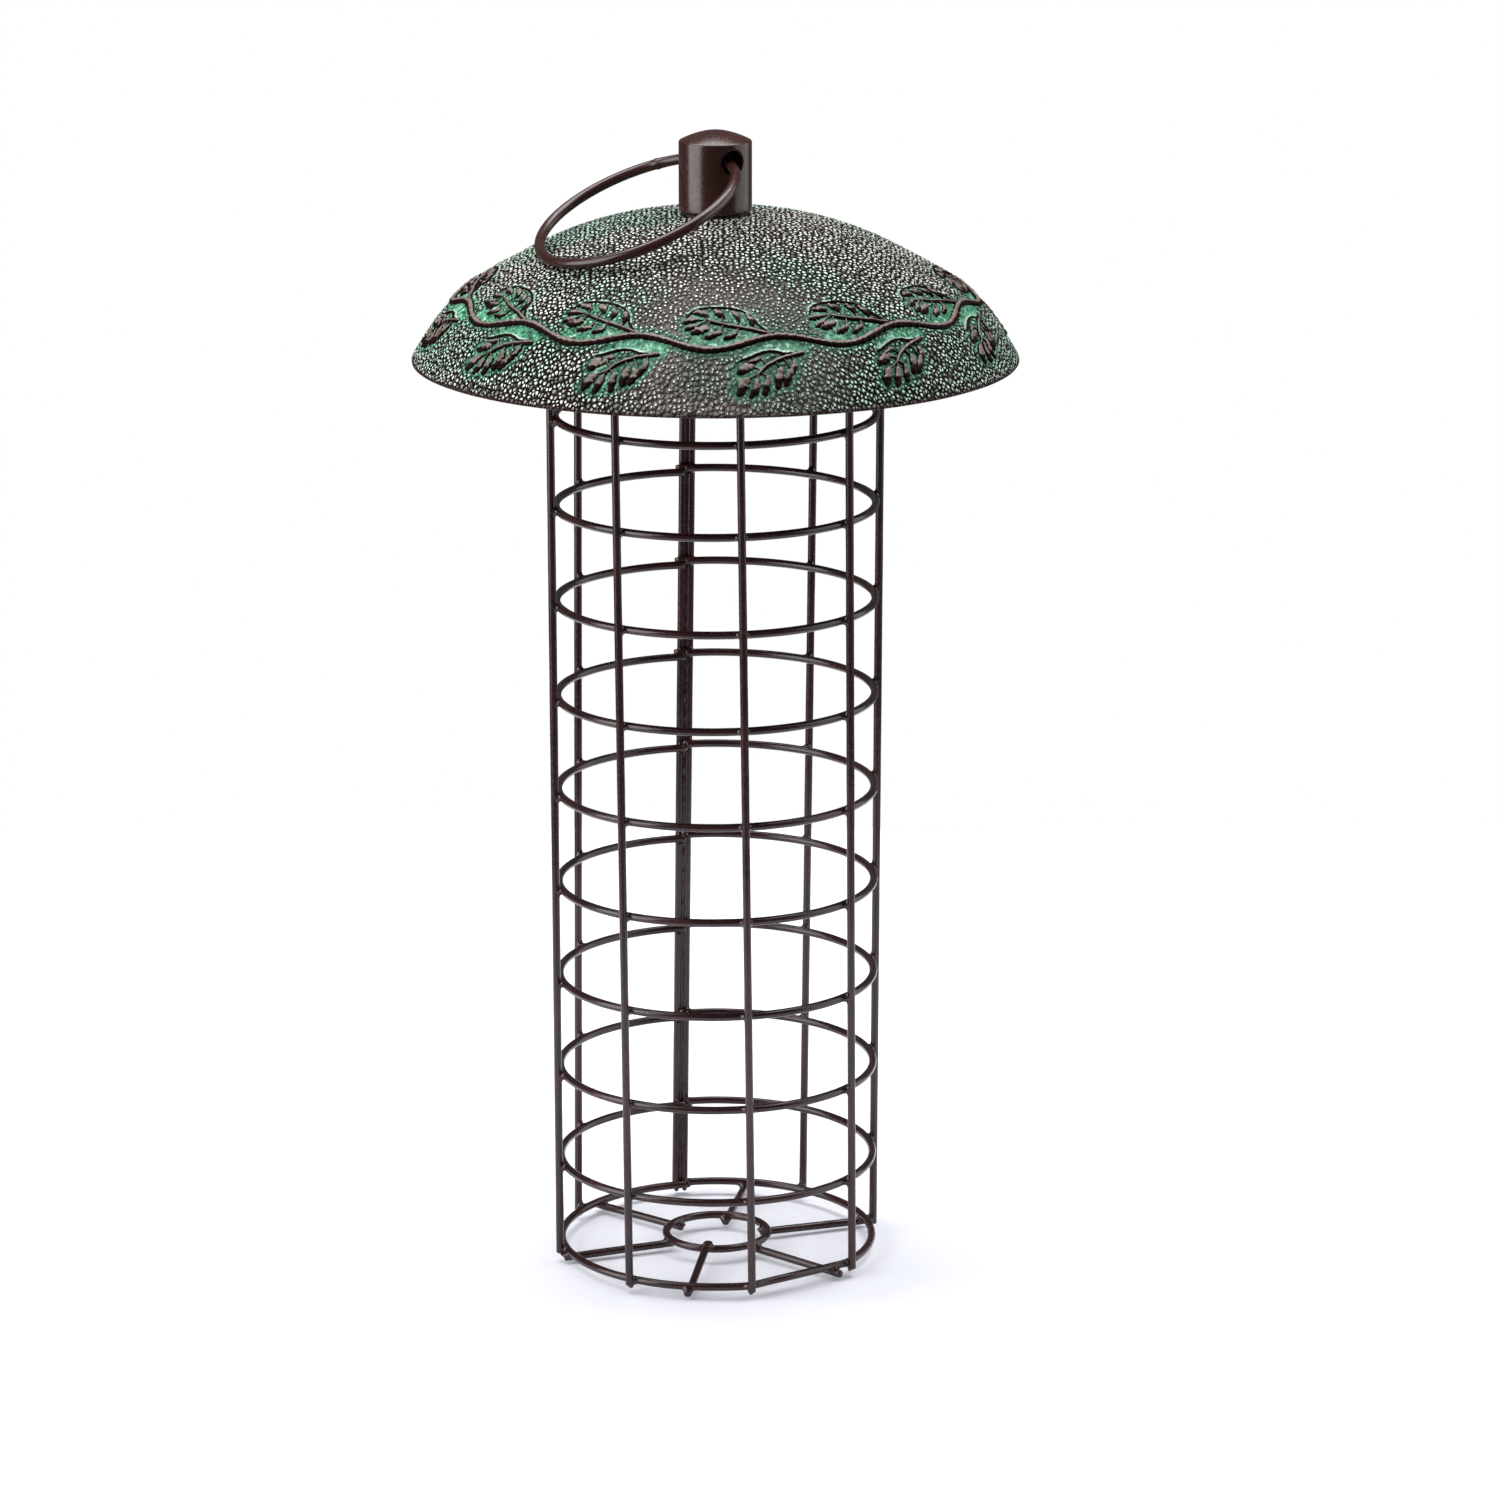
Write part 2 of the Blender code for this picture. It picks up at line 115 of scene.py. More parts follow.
# Vine round the canopy, in one of its repeats: x along the rim direction, then slant
REPEATS = 12
REPEAT_TURN = 360.0 / REPEATS
PERIOD = math.radians(REPEAT_TURN) * RELIEF_RADIUS
CREST_ANGLE = 13.7
VINE_BAND = (66.0, 108.0)
FAR = 99.0
STEM_SLANT = 85.6
STEM_SWING = 2.3
STEM_WIDTH = 2.4
STEM_HEIGHT = 0.85
STEM_ROWS = 88
SERRATION = 1.78
SERRATION_HEIGHT = 0.30
MIDRIB_WIDTH = (1.7, 0.9)
MIDRIB_HEIGHT = 0.55
OUTLINE_WIDTH = 0.95
OUTLINE_HEIGHT = 0.55
VEIN_WIDTH = 0.5
VEIN_HEIGHT = 0.38
LOBE_HEIGHT = 0.60
LEAF_SHIFT = 0.22
GREEN_FADE = (0.3, 3.2)
SMOOTH_FADE = (0.2, 0.9)
# Painted highlight above the leaf outlines: where it starts to fade, and over how far
OUTLINE_HIGHLIGHT_FADE = (0.1, 0.5)
UPPER_OUTLINE = (
    (-26.9, 75.0), (-25.3, 72.6), (-22.6, 71.1), (-18.5, 70.6), (-13.8, 70.9),
    (-9.4, 72.4), (-6.6, 75.2), (-5.2, 78.4), (-2.9, 81.6),
)
UPPER_MIDRIB = ((-2.6, 82.2), (-7.3, 80.4), (-11.9, 79.2), (-16.5, 77.9), (-20.4, 76.6))
UPPER_LOBES = (
    ((-7.0, 78.6), (-7.1, 76.4), (-8.0, 74.0), 1.9),
    ((-11.0, 77.0), (-11.2, 74.8), (-12.6, 72.6), 1.7),
    ((-15.6, 74.6), (-16.6, 73.2), (-18.0, 72.0), 2.4),
    ((-20.6, 73.9), (-22.4, 73.2), (-24.6, 73.0), 2.4),
    ((-23.4, 76.2), (-25.2, 76.6), (-27.0, 77.4), 2.2),
    ((-23.8, 78.8), (-25.4, 79.4), (-26.8, 80.4), 1.8),
    ((-20.6, 79.6), (-22.4, 80.6), (-24.4, 81.4), 3.0),
    ((-16.8, 81.6), (-18.4, 82.4), (-20.0, 83.4), 2.3),
    ((-12.2, 82.0), (-13.6, 82.7), (-15.4, 83.6), 1.8),
)
LOWER_OUTLINE = (
    (-11.2, 91.8), (-8.8, 90.8), (-6.4, 89.6), (-4.1, 88.9), (-1.6, 89.0), (0.4, 89.8), (3.0, 90.0),
)
LOWER_MIDRIB = ((5.6, 89.9), (3.0, 90.5), (0.6, 91.1), (-2.2, 92.3), (-4.8, 94.0), (-6.8, 96.3))
LOWER_LOBES = (
    ((-6.4, 91.4), (-7.8, 92.0), (-9.4, 93.0), 1.5),
    ((-8.6, 93.4), (-10.2, 94.4), (-11.8, 95.9), 3.0),
    ((-10.0, 98.0), (-11.2, 100.0), (-12.3, 102.6), 2.6),
    ((-7.4, 98.2), (-8.2, 101.0), (-9.0, 103.4), 2.0),
    ((-4.6, 97.6), (-5.0, 100.2), (-5.6, 102.8), 1.9),
    ((-1.2, 95.2), (-1.7, 97.8), (-2.4, 100.6), 2.2),
    ((1.4, 95.8), (0.6, 98.0), (-0.6, 100.0), 2.0),
    ((3.1, 92.6), (2.7, 94.6), (1.6, 97.0), 1.7),
)
# Smooth green ground between the stem and each leaf, as a line and its width
FIELDS = (
    (((6.2, 88.0), (1.0, 86.6), (-4.0, 87.4), (-8.6, 89.4)), 2.2),
    (((-8.0, 82.8), (-12.0, 84.8), (-18.0, 85.6), (-24.0, 84.6)), 1.6),
)
# A stroke's cross-section, and the length, width and height of its two rounded end rows
RIDGE_ACROSS = (-1.0, -0.92, -0.72, -0.4, 0.0, 0.4, 0.72, 0.92, 1.0)
RIDGE_FULLNESS = 0.9
RIDGE_ROOT = 0.7
END_REACH = (0.9, 0.6)
END_WIDTH = (0.35, 0.75)
END_HEIGHT = (0.35, 0.8)
LUMPS = 0.16
LEFT_LUMPS = 0.20

# Knob and hanging ring
KNOB_EDGE = 0.5
KNOB_FOOT = 0.7
KNOB_VOXEL = 0.34
KNOB_SIDES = 72
HOLE_EDGE = 0.45
HOLE_SKEW = -2.7
HOLE_RADIUS = 3.65
HOLE_LIFT = 0.85
HOLE_SIDES = 48
DRILL_LENGTH = 60.0
RING_STEPS = 220
RING_SIDES = 20
RING_PAINT = 0.13
JOINT_ANGLE = 43.0
JOINT_LENGTH = 1.3
JOINT_BULGE = 0.16

# Colours
WIRE_PAINT = {
    "dark": (0.019, 0.0050, 0.0055),
    "light": (0.036, 0.0110, 0.0115),
    "rough": 0.21,
    "dust": (0.04, 0.026, 0.024),
    "grain": 0.12,
}
KNOB_PAINT = {
    "dark": (0.026, 0.0062, 0.0045),
    "light": (0.038, 0.0105, 0.008),
    "rough": 0.24,
    "dust": (0.05, 0.022, 0.018),
    "grain": 0.05,
}
STEEL = {
    "dark": (0.46, 0.45, 0.42),
    "light": (0.62, 0.62, 0.60),
    "rough": (0.46, 0.28),
    "patch": (160.0, 4.0),
    "grain": 3000.0,
    "relief": (0.03, 0.4),
    "metallic": 1.0,
}
NYLON = {
    "dark": (0.012, 0.012, 0.013),
    "light": (0.030, 0.030, 0.031),
    "rough": (0.42, 0.60),
    "patch": (1800.0, 3.0),
    "grain": 1800.0,
    "relief": (0.04, 0.5),
    "metallic": 0.0,
}
BROWN = (0.046, 0.035, 0.030)
WORN_BROWN = (0.097, 0.076, 0.064)
GREENISH_BROWN = (0.022, 0.055, 0.040)
# Painted shade in the crevices between pebbles
CREVICE_SHADE = (0.004, 0.003, 0.003)
# Pale pebble tops: part rubbed paint, part painted highlight standing in for the lamps' glints
GLINT_SPECK = (0.86, 0.88, 0.81)
MINT_GLINT_SPECK = (0.56, 0.84, 0.67)
TINT = (0.030, 0.085, 0.055)
PALE_TINT = (0.060, 0.150, 0.100)
# Painted shade in the crevices between pebbles within the tinted ground
TINT_CREVICE_SHADE = (0.008, 0.016, 0.011)
# Pale pebble tops in the tinted ground: part rubbed patina, part painted highlight
TINT_GLINT_SPECK = (0.36, 0.68, 0.51)
FIELD = (0.028, 0.165, 0.088)
PALE_FIELD = (0.066, 0.300, 0.168)
DARK_FLECK = (0.010, 0.026, 0.014)
MINT_FLECK = (0.42, 0.66, 0.52)
# Painted highlight along the upper edge of each leaf outline
OUTLINE_HIGHLIGHT = (0.46, 0.70, 0.57)
EDGE_BROWN = (0.026, 0.010, 0.008)
RELIEF = (0.115, 0.082, 0.072)
WORN_RELIEF = (0.200, 0.148, 0.132)
RELIEF_SCUFF = (0.36, 0.31, 0.28)
RELIEF_DIRT = (0.020, 0.009, 0.008)
# Painted shade low on the sides of the vine's strokes
RELIEF_SHADE = (0.010, 0.003, 0.003)

# Camera and stage
CAMERA_PLACE = (0.0, -1713.6, 620.2)
CAMERA_PITCH = 14.857
CAMERA_TURN = 0.357
LENS = 134.67
SENSOR = 36.0
FLOOR_SIZE = 900.0
FLOOR_MIDDLE = 50.0
FLOOR_COLOURS = ((0.893, 0.900, 0.968), (0.905, 0.912, 0.980))
FLOOR_GLOW = 0.08
GLOW_COLOUR = (0.80, 0.86, 1.0, 1.0)
UNSEEN_SURROUNDINGS = 0.12
# Soft boxes: name, place, target, width, height and power in watts
LIGHTS = (
    ("left_box", (-1350, -520, 620), (0, 0, 240), 1300, 1500, 27.0),
    ("right_box", (1250, 130, 560), (0, 0, 240), 1500, 1300, 9.0),
    ("top_box", (0, 200, 1500), (0, 0, 0), 1600, 1000, 30.0),
)


# --- reading the frame


def cad_points(node):
    """Return the distinct points of a CAD node, in millimetres."""
    data = frame["nodes"][node].data
    points = np.empty(len(data.vertices) * 3)
    data.vertices.foreach_get("co", points)
    return np.unique(points.reshape(-1, 3).round(7), axis=0) / MM


def azimuth(points):
    """Return the angles of points round the cage, from 0 to 360."""
    return np.degrees(np.arctan2(points[:, 0], -points[:, 1])) % 360.0


def centreline(points, key, gap):
    """Return the middles of a wire's cross-sections, told apart by gaps in a key along the wire."""
    order = np.argsort(key)
    breaks = np.flatnonzero(np.diff(key[order]) > gap) + 1
    return np.array([points[part].mean(axis=0) for part in np.split(order, breaks)])


def unit(vectors):
    """Return the vectors at length 1."""
    return vectors / np.linalg.norm(vectors, axis=-1, keepdims=True)


def smooth_path(points, split, closed=False):
    """Return a Catmull-Rom curve through the points, with this many steps between each two."""
    points = np.asarray(points, float)
    if closed:
        padded = np.vstack([points[-1:], points, points[:2]])
    else:
        padded = np.vstack([2 * points[:1] - points[1:2], points, 2 * points[-1:] - points[-2:-1]])
    t = (np.arange(split) / split)[:, None]
    parts = []
    for a, b, c, d in zip(padded[:-3], padded[1:-2], padded[2:-1], padded[3:]):
        bend = (2 * a - 5 * b + 4 * c - d) * t**2 + (3 * b - a - 3 * c + d) * t**3
        parts.append(0.5 * (2 * b + (c - a) * t + bend))
    if not closed:
        parts.append(points[-1:])
    return np.vstack(parts)


def wave(position, seed, period):
    """Return a smooth irregular wave between about -1 and 1."""
    rng = np.random.default_rng(seed)
    total = np.zeros_like(position, dtype=float)
    for harmonic in (1.0, 1.7, 2.9, 4.3):
        total += np.sin(position * math.tau * harmonic / period + rng.uniform(0, math.tau)) / harmonic
    return total / 1.6


# --- meshes


def strip(first, first_count, second, second_count):
    """Return faces between two closed rows of points, which have equal counts or one twice the other."""
    i = np.arange(min(first_count, second_count))
    j = (i + 1) % len(i)
    if first_count == second_count:
        return np.stack([first + i, second + i, second + j, first + j], axis=1).tolist()
    flip = first_count > second_count
    coarse, fine = (second, first) if flip else (first, second)
    middle = fine + 2 * i + 1
    corners = [
        (coarse + i, fine + 2 * i, middle),
        (coarse + i, middle, coarse + j),
        (coarse + j, middle, fine + 2 * j),
    ]
    faces = np.hstack(corners).T
    return (faces[:, ::-1] if flip else faces).tolist()


def along_path(path, closed=False):
    """Return the direction of a path at each of its points."""
    if closed:
        return unit(np.roll(path, -1, axis=0) - np.roll(path, 1, axis=0))
    return unit(np.gradient(path, axis=0))


def tube(path, radius, up, sides, closed=False):
    """Return points and faces of a tube along a path, with rounded ends unless it is closed."""
    path = np.asarray(path, float)
    radius = np.broadcast_to(np.asarray(radius, float), len(path))
    along = along_path(path, closed)
    side = unit(np.cross(along, up))
    normal = np.cross(side, along)
    if not closed:
        turns = np.radians(CAP_TURNS)
        bulge = CAP_LENGTH * np.sin(turns)[:, None]
        start = path[0] - along[0] * radius[0] * bulge
        end = path[-1] + along[-1] * radius[-1] * bulge[::-1]
        path = np.vstack([start, path, end])
        radius = np.concatenate([radius[0] * np.cos(turns), radius, radius[-1] * np.cos(turns[::-1])])
        extra = ((len(turns), len(turns)), (0, 0))
        side, normal = np.pad(side, extra, "edge"), np.pad(normal, extra, "edge")
    turn = np.arange(sides) * math.tau / sides
    spread = np.cos(turn)[None, :, None] * side[:, None] + np.sin(turn)[None, :, None] * normal[:, None]
    points = (path[:, None] + radius[:, None, None] * spread).reshape(-1, 3)
    faces = []
    for row in range(len(path) - 1):
        faces += strip(row * sides, sides, (row + 1) * sides, sides)
    last = (len(path) - 1) * sides
    if closed:
        faces += strip(last, sides, 0, sides)
    else:
        faces.append(list(range(sides)))
        faces.append(list(range(last + sides - 1, last - 1, -1)))
    return points, [face[::-1] for face in faces]


def joined(parts):
    """Return the points and faces of several meshes as one."""
    points, faces, start = [], [], 0
    for part_points, part_faces in parts:
        points.append(part_points)
        faces += [[index + start for index in face] for face in part_faces]
        start += len(part_points)
    return np.vstack(points), faces


def placed(name, data):
    """Return a new object with this data, in the scene."""
    item = bpy.data.objects.new(name, data)
    bpy.context.scene.collection.objects.link(item)
    return item


def piece(name, points, faces, material, body, replaced=(), attributes=None):
    """Add a smooth mesh from points in millimetres, riding on a body and standing for CAD nodes."""
    mesh = bpy.data.meshes.new(name)
    mesh.from_pydata((np.asarray(points) * MM).tolist(), [], faces)
    for key, values in (attributes or {}).items():
        kind, field = ("FLOAT_VECTOR", "vector") if np.ndim(values) == 2 else ("FLOAT", "value")
        layer = mesh.attributes.new(key, kind, "POINT")
        layer.data.foreach_set(field, np.asarray(values, np.float32).ravel())
    mesh.shade_smooth()
    mesh.materials.append(material)
    mesh.update()
    item = placed(name, mesh)
    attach(item, body)
    if replaced:
        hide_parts(*replaced)


# --- materials


def new_material(name):
    """Return a material, its node tree and its Principled shader."""
    material = bpy.data.materials.new(name)
    material.use_nodes = True
    return material, material.node_tree, material.node_tree.nodes["Principled BSDF"]


def feed(item, values):
    """Link or set a node's inputs by socket name or number."""
    for key, value in values.items():
        if isinstance(value, bpy.types.NodeSocket):
            item.id_data.links.new(value, item.inputs[key])
        else:
            item.inputs[key].default_value = value


def node(tree, kind, values=None, **settings):
    """Add a shader node with these settings, and these input values or links."""
    item = tree.nodes.new(kind)
    for key, value in settings.items():
        setattr(item, key, value)
    feed(item, values or {})
    return item


def noise(place, scale, detail=3.0, roughness=0.55):
    """Return the value of a noise texture of this scale, in features per metre."""
    values = {"Vector": place, "Scale": scale, "Detail": detail, "Roughness": roughness}
    return node(place.id_data, "ShaderNodeTexNoise", values).outputs["Fac"]


def ramp(value, low, high, out_low=0.0, out_high=1.0):
    """Return the value mapped smoothly from low..high to out_low..out_high."""
    values = {"Value": value, "From Min": low, "From Max": high, "To Min": out_low, "To Max": out_high}
    item = node(value.id_data, "ShaderNodeMapRange", values, interpolation_type="SMOOTHSTEP")
    return item.outputs["Result"]


def maths(operation, first, second):
    """Return the result of a two-input maths node."""
    return node(first.id_data, "ShaderNodeMath", {0: first, 1: second}, operation=operation).outputs[0]


def mix(share, first, second):
    """Return a mix of two colours, given as sockets or as red, green and blue."""
    values = {0: share}
    for key, colour in ((6, first), (7, second)):
        values[key] = colour if isinstance(colour, bpy.types.NodeSocket) else (*colour, 1.0)
    return node(share.id_data, "ShaderNodeMix", values, data_type="RGBA").outputs[2]


def shaded(value, low, high, first, second, most=1.0):
    """Return a colour that goes from the first to the second while the value goes from low to high."""
    return mix(ramp(value, low, high, 0.0, most), first, second)


def bump(height, distance, strength=1.0, normal=None):
    """Return a bumped normal for a height between 0 and 1 over this distance in millimetres."""
    values = {"Height": height, "Distance": distance * MM, "Strength": strength}
    if normal:
        values["Normal"] = normal
    return node(height.id_data, "ShaderNodeBump", values).outputs["Normal"]


def object_place(tree):
    """Return the place on the object, in metres."""
    return node(tree, "ShaderNodeTexCoord").outputs["Object"]


def attribute(tree, name, output="Fac"):
    """Return a value stored on the mesh's points."""
    return node(tree, "ShaderNodeAttribute", attribute_name=name).outputs[output]


def paint_material(name, dark, light, rough, dust, grain):
    """Return a sprayed satin paint: slight orange peel, thin spots and a little dust."""
    material, tree, shader = new_material(name)
    place = object_place(tree)
    broad = noise(place, 55.0, 3.0)
    fine = noise(place, 900.0, 4.0, 0.6)
    peel = noise(place, 2400.0, 2.0)
    colour = shaded(broad, 0.35, 0.68, dark, light)
    colour = shaded(fine, 0.60, 0.80, colour, dust, 0.35)
    roughness = maths("ADD", ramp(fine, 0.3, 0.8, -0.05, 0.10), rough)
    normal = bump(fine, 0.06, grain, bump(peel, 0.05, grain))
    feed(shader, {"Base Color": colour, "Roughness": roughness, "IOR": 1.52, "Normal": normal})
    return material


def grained_material(name, dark, light, rough, patch, grain, relief, metallic):
    """Return a bare material with patches of colour and sheen, and a fine grain."""
    material, tree, shader = new_material(name)
    place = object_place(tree)
    patches = noise(place, *patch)
    normal = bump(noise(place, grain), *relief)
    colour = shaded(patches, 0.3, 0.7, dark, light)
    roughness = ramp(patches, 0.3, 0.7, *rough)
    feed(shader, {"Base Color": colour, "Roughness": roughness, "Metallic": metallic, "Normal": normal})
    return material


def pebble_cells(place, feature="F1"):
    """Return the hammered pebbles: the distance to a middle, or to an edge, as a share of the size."""
    tree = place.id_data
    scale = 1.0 / (PEBBLE_SIZE * MM)
    swirl = node(tree, "ShaderNodeTexNoise", {"Vector": place, "Scale": 0.8 * scale, "Detail": 1.0})
    warp = {0: swirl.outputs["Color"], 1: (PEBBLE_WARP * MM,) * 3, 2: place}
    place = node(tree, "ShaderNodeVectorMath", warp, operation="MULTIPLY_ADD").outputs["Vector"]
    values = {"Vector": place, "Scale": scale, "Randomness": 0.85}
    return node(tree, "ShaderNodeTexVoronoi", values, voronoi_dimensions="2D", feature=feature)


def pebble_shares(place):
    """Return the shares of pale pebble top, part rubbed paint and part painted highlight, and of crevice
    with painted shade, and the distance to a pebble's middle.

    Over most of the dome the painted highlights on the pebble tops are big and the painted shade in the
    crevices is wide and dark; in two places at the front, where the overhead light's sheen falls, both are
    small and faint.
    """
    tree = place.id_data
    spread = attribute(tree, "spread", "Vector")
    cells = pebble_cells(spread)
    distance = cells.outputs["Distance"]
    border = pebble_cells(spread, "DISTANCE_TO_EDGE").outputs["Distance"]
    tone = node(tree, "ShaderNodeSeparateColor", {"Color": cells.outputs["Color"]}).outputs[0]
    crown, rim = (
        node(tree, "ShaderNodeVectorMath", {0: place, 1: middle}, operation="DISTANCE").outputs["Value"]
        for middle in (MM * np.array([FAINT_PAINTED_LIGHT_CROWN, FAINT_PAINTED_LIGHT_RIM])).tolist()
    )
    # How strongly the painted highlights and painted shade show, weakest at the two places at the front
    painted_contrast = ramp(maths("MINIMUM", crown, rim), FAINT_PAINTED_LIGHT_INSIDE * MM, FAINT_PAINTED_LIGHT_OUTSIDE * MM)
    reach = ramp(painted_contrast, 0.0, 1.0, 0.19, 0.30)
    top = ramp(maths("SUBTRACT", distance, reach), 0.04, -0.08)
    brink = ramp(painted_contrast, 0.0, 1.0, 0.055, 0.185)
    # Painted shade fills the crevice between pebbles, out to the brink
    deep = ramp(maths("SUBTRACT", border, brink), 0.02, -0.02)
    valley_shade = maths("MULTIPLY", deep, ramp(painted_contrast, 0.0, 1.0, 0.90, 1.0))
    top = maths("MULTIPLY", top, ramp(deep, 0.0, 1.0, 1.0, 0.0))
    worn = maths("SUBTRACT", tone, ramp(painted_contrast, 0.0, 1.0, 0.40, 0.05))
    rub_and_glint = maths("MULTIPLY", top, ramp(worn, 0.0, 0.40, 0.20, 1.0))
    return rub_and_glint, valley_shade, distance


def patina_material():
    """Return the canopy's finish: brown hammered paint, pale pebble tops that are part rubbed paint and
    part painted highlight, painted shade between the pebbles, green round the vine and a painted highlight
    over the leaf outlines.
    """
    material, tree, shader = new_material("hammered_patina")
    place = attribute(tree, "rest", "Vector")
    green, smooth, outline_highlight, edge = (attribute(tree, name) for name in ("green", "smooth", "outline_highlight", "edge"))
    rub_and_glint, valley_shade, distance = pebble_shares(place)
    broad = noise(place, 22.0, 3.0)
    patch = noise(place, 70.0, 4.0)
    fine = noise(place, 1100.0, 4.0, 0.6)
    fleck = noise(place, 620.0, 2.0, 0.7)

    brown = shaded(patch, 0.35, 0.65, BROWN, WORN_BROWN)
    brown = shaded(broad, 0.40, 0.62, brown, GREENISH_BROWN, 0.40)
    # Painted shade, almost black, in the crevices between pebbles
    brown = mix(valley_shade, brown, CREVICE_SHADE)
    # Pebble tops: rubbed pale paint mixed with painted highlight
    hammered = mix(rub_and_glint, brown, shaded(broad, 0.42, 0.60, GLINT_SPECK, MINT_GLINT_SPECK))
    tint = shaded(patch, 0.35, 0.65, TINT, PALE_TINT)
    tint = mix(rub_and_glint, mix(valley_shade, tint, TINT_CREVICE_SHADE), TINT_GLINT_SPECK)
    field = shaded(patch, 0.30, 0.70, FIELD, PALE_FIELD)
    field = shaded(fleck, 0.54, 0.62, field, DARK_FLECK, 0.85)
    field = shaded(fleck, 0.45, 0.36, field, MINT_FLECK, 0.75)
    # Painted highlight over the green ground, just above the leaf outlines
    ground = mix(outline_highlight, mix(smooth, tint, field), OUTLINE_HIGHLIGHT)
    broken = maths("ADD", green, ramp(fine, 0.3, 0.7, -0.24, 0.24))
    colour = shaded(broken, 0.34, 0.60, hammered, ground)
    colour = mix(edge, colour, EDGE_BROWN)

    sheen = ramp(smooth, 0.2, 0.8, 0.32, 0.52)
    roughness = maths("ADD", sheen, ramp(fine, 0.3, 0.7, -0.06, 0.10))
    gloss = ramp(valley_shade, 0.0, 1.0, 0.42, 0.03)
    flat = ramp(smooth, 0.2, 0.7, 1.0, 0.12)
    hill = maths("MULTIPLY", ramp(distance, 0.70, 0.10), flat)
    normal = bump(fine, 0.10, 0.5, bump(hill, 0.45, 0.9))
    feed(shader, {"Base Color": colour, "Roughness": roughness, "IOR": 1.5, "Normal": normal})
    feed(shader, {"Specular IOR Level": gloss})
    return material


def vine_material():
    """Return the vine's finish: worn light brown on top, with painted shade making it almost black low on
    its sides.
    """
    material, tree, shader = new_material("worn_brown_relief")
    place = object_place(tree)
    fine = noise(place, 1000.0, 4.0, 0.65)
    patch = noise(place, 160.0, 3.0)
    colour = shaded(patch, 0.3, 0.7, RELIEF, WORN_RELIEF)
    colour = shaded(fine, 0.58, 0.74, colour, RELIEF_SCUFF, 0.55)
    colour = shaded(fine, 0.44, 0.30, colour, RELIEF_DIRT, 0.80)
    broken = maths("ADD", attribute(tree, "unshaded_share"), ramp(fine, 0.3, 0.7, -0.15, 0.15))
    # Painted shade, almost black, low on the sides of the strokes and at their foot
    colour = shaded(broken, 0.62, 0.34, colour, RELIEF_SHADE)
    roughness = ramp(fine, 0.3, 0.7, 0.30, 0.50)
    gloss = ramp(broken, 0.34, 0.62, 0.03, 0.42)
    normal = bump(fine, 0.25, 0.9)
    feed(shader, {"Base Color": colour, "Roughness": roughness, "IOR": 1.5, "Normal": normal})
    feed(shader, {"Specular IOR Level": gloss})
    return material


# --- cage


def wire_radius(node_name, end):
    """Return a straight CAD wire's radius, given the middle of one end."""
    distance = np.linalg.norm(cad_points(node_name) - end, axis=1)
    return float(distance.min())


def cage_paths():
    """Return each cage wire's path by node name, as (points, up direction, closed)."""
    sides = [azimuth(cad_points(name)).mean() for name in ("seam_wire_left", "seam_wire_right")]
    seam = sum(sides) / 2
    paths = {}
    for name in sorted(frame["nodes"]):
        points = cad_points(name)
        if name.startswith(("base_ring", "cage_ring")):
            line = centreline(points, (azimuth(points) - seam) % 360.0, 3.0)
            paths[name] = (smooth_path(line, RING_SPLIT), UP, False)
        elif name == "base_centre_ring":
            line = centreline(points, azimuth(points), 5.0)
            paths[name] = (smooth_path(line, RING_SPLIT, closed=True), UP, True)
        elif name.startswith("base_spoke"):
            line = centreline(points, np.hypot(points[:, 0], points[:, 1]), 2.0)
            paths[name] = (straight_steps(sunk_spoke(line)), UP, False)
        elif name.startswith(("cage_wire", "seam_wire")):
            line = centreline(points, points[:, 2], 5.0)
            outwards = np.array([*unit(line.mean(axis=0)[:2]), 0.0])
            paths[name] = (straight_steps(line - UPRIGHT_SINK * outwards), outwards, False)
    return paths


def sunk_spoke(line):
    """Return a base spoke's line moved into the rings that it is welded to."""
    line = line[np.hypot(line[:, 0], line[:, 1]).argsort()]
    lift = np.full(len(line), SPOKE_SINK)
    if line[0, 2] > line[-1, 2] + 2.0:
        lift[0] = -RAISED_SPOKE_SINK
    return line + lift[:, None] * UP


def lengths(path):
    """Return how far along the path each of its points is."""
    return np.concatenate([[0.0], np.cumsum(np.linalg.norm(np.diff(path, axis=0), axis=1))])


def straight_steps(line):
    """Return a polyline divided into steps of about the same length."""
    length = lengths(line)
    at = np.linspace(0.0, length[-1], max(4, int(length[-1] / STRAIGHT_STEP)))
    return np.stack([np.interp(at, length, line[:, axis]) for axis in range(3)], axis=1)


def build_wires(paths, radius, material):
    """Add each wire of the cage as a fine tube whose paint varies slightly in thickness."""
    for number, (name, (path, up, closed)) in enumerate(paths.items()):
        thickness = radius * (1.0 + PAINT_WAVE * wave(lengths(path), SEED + number, 41.0))
        if closed:
            thickness = radius
        points, faces = tube(path, thickness, up, WIRE_SIDES, closed)
        piece(f"{name}_wire", points, faces, material, "cage", [name])


def crossing(first, second):
    """Return where two paths come closest: each one's point and direction, and the distance."""
    apart = np.linalg.norm(first[:, None] - second[None], axis=2)
    i, j = np.unravel_index(apart.argmin(), apart.shape)
    along_first, along_second = along_path(first)[i], along_path(second)[j]
    across = np.cross(along_first, along_second)
    if np.linalg.norm(across) < 0.2:
        return None
    system = np.stack([along_first, -along_second, across], axis=1)
    step = np.linalg.solve(system, second[j] - first[i])
    at_first = first[i] + np.clip(step[0], -2.0, 2.0) * along_first
    at_second = second[j] + np.clip(step[1], -2.0, 2.0) * along_second
    return at_first, along_first, at_second, along_second, float(np.linalg.norm(at_first - at_second))


def from_line(points, at, along, radius):
    """Return the distances of points from the surface of an endless round bar."""
    across = (points - at) - ((points - at) @ along)[..., None] * along
    return np.linalg.norm(across, axis=-1) - radius


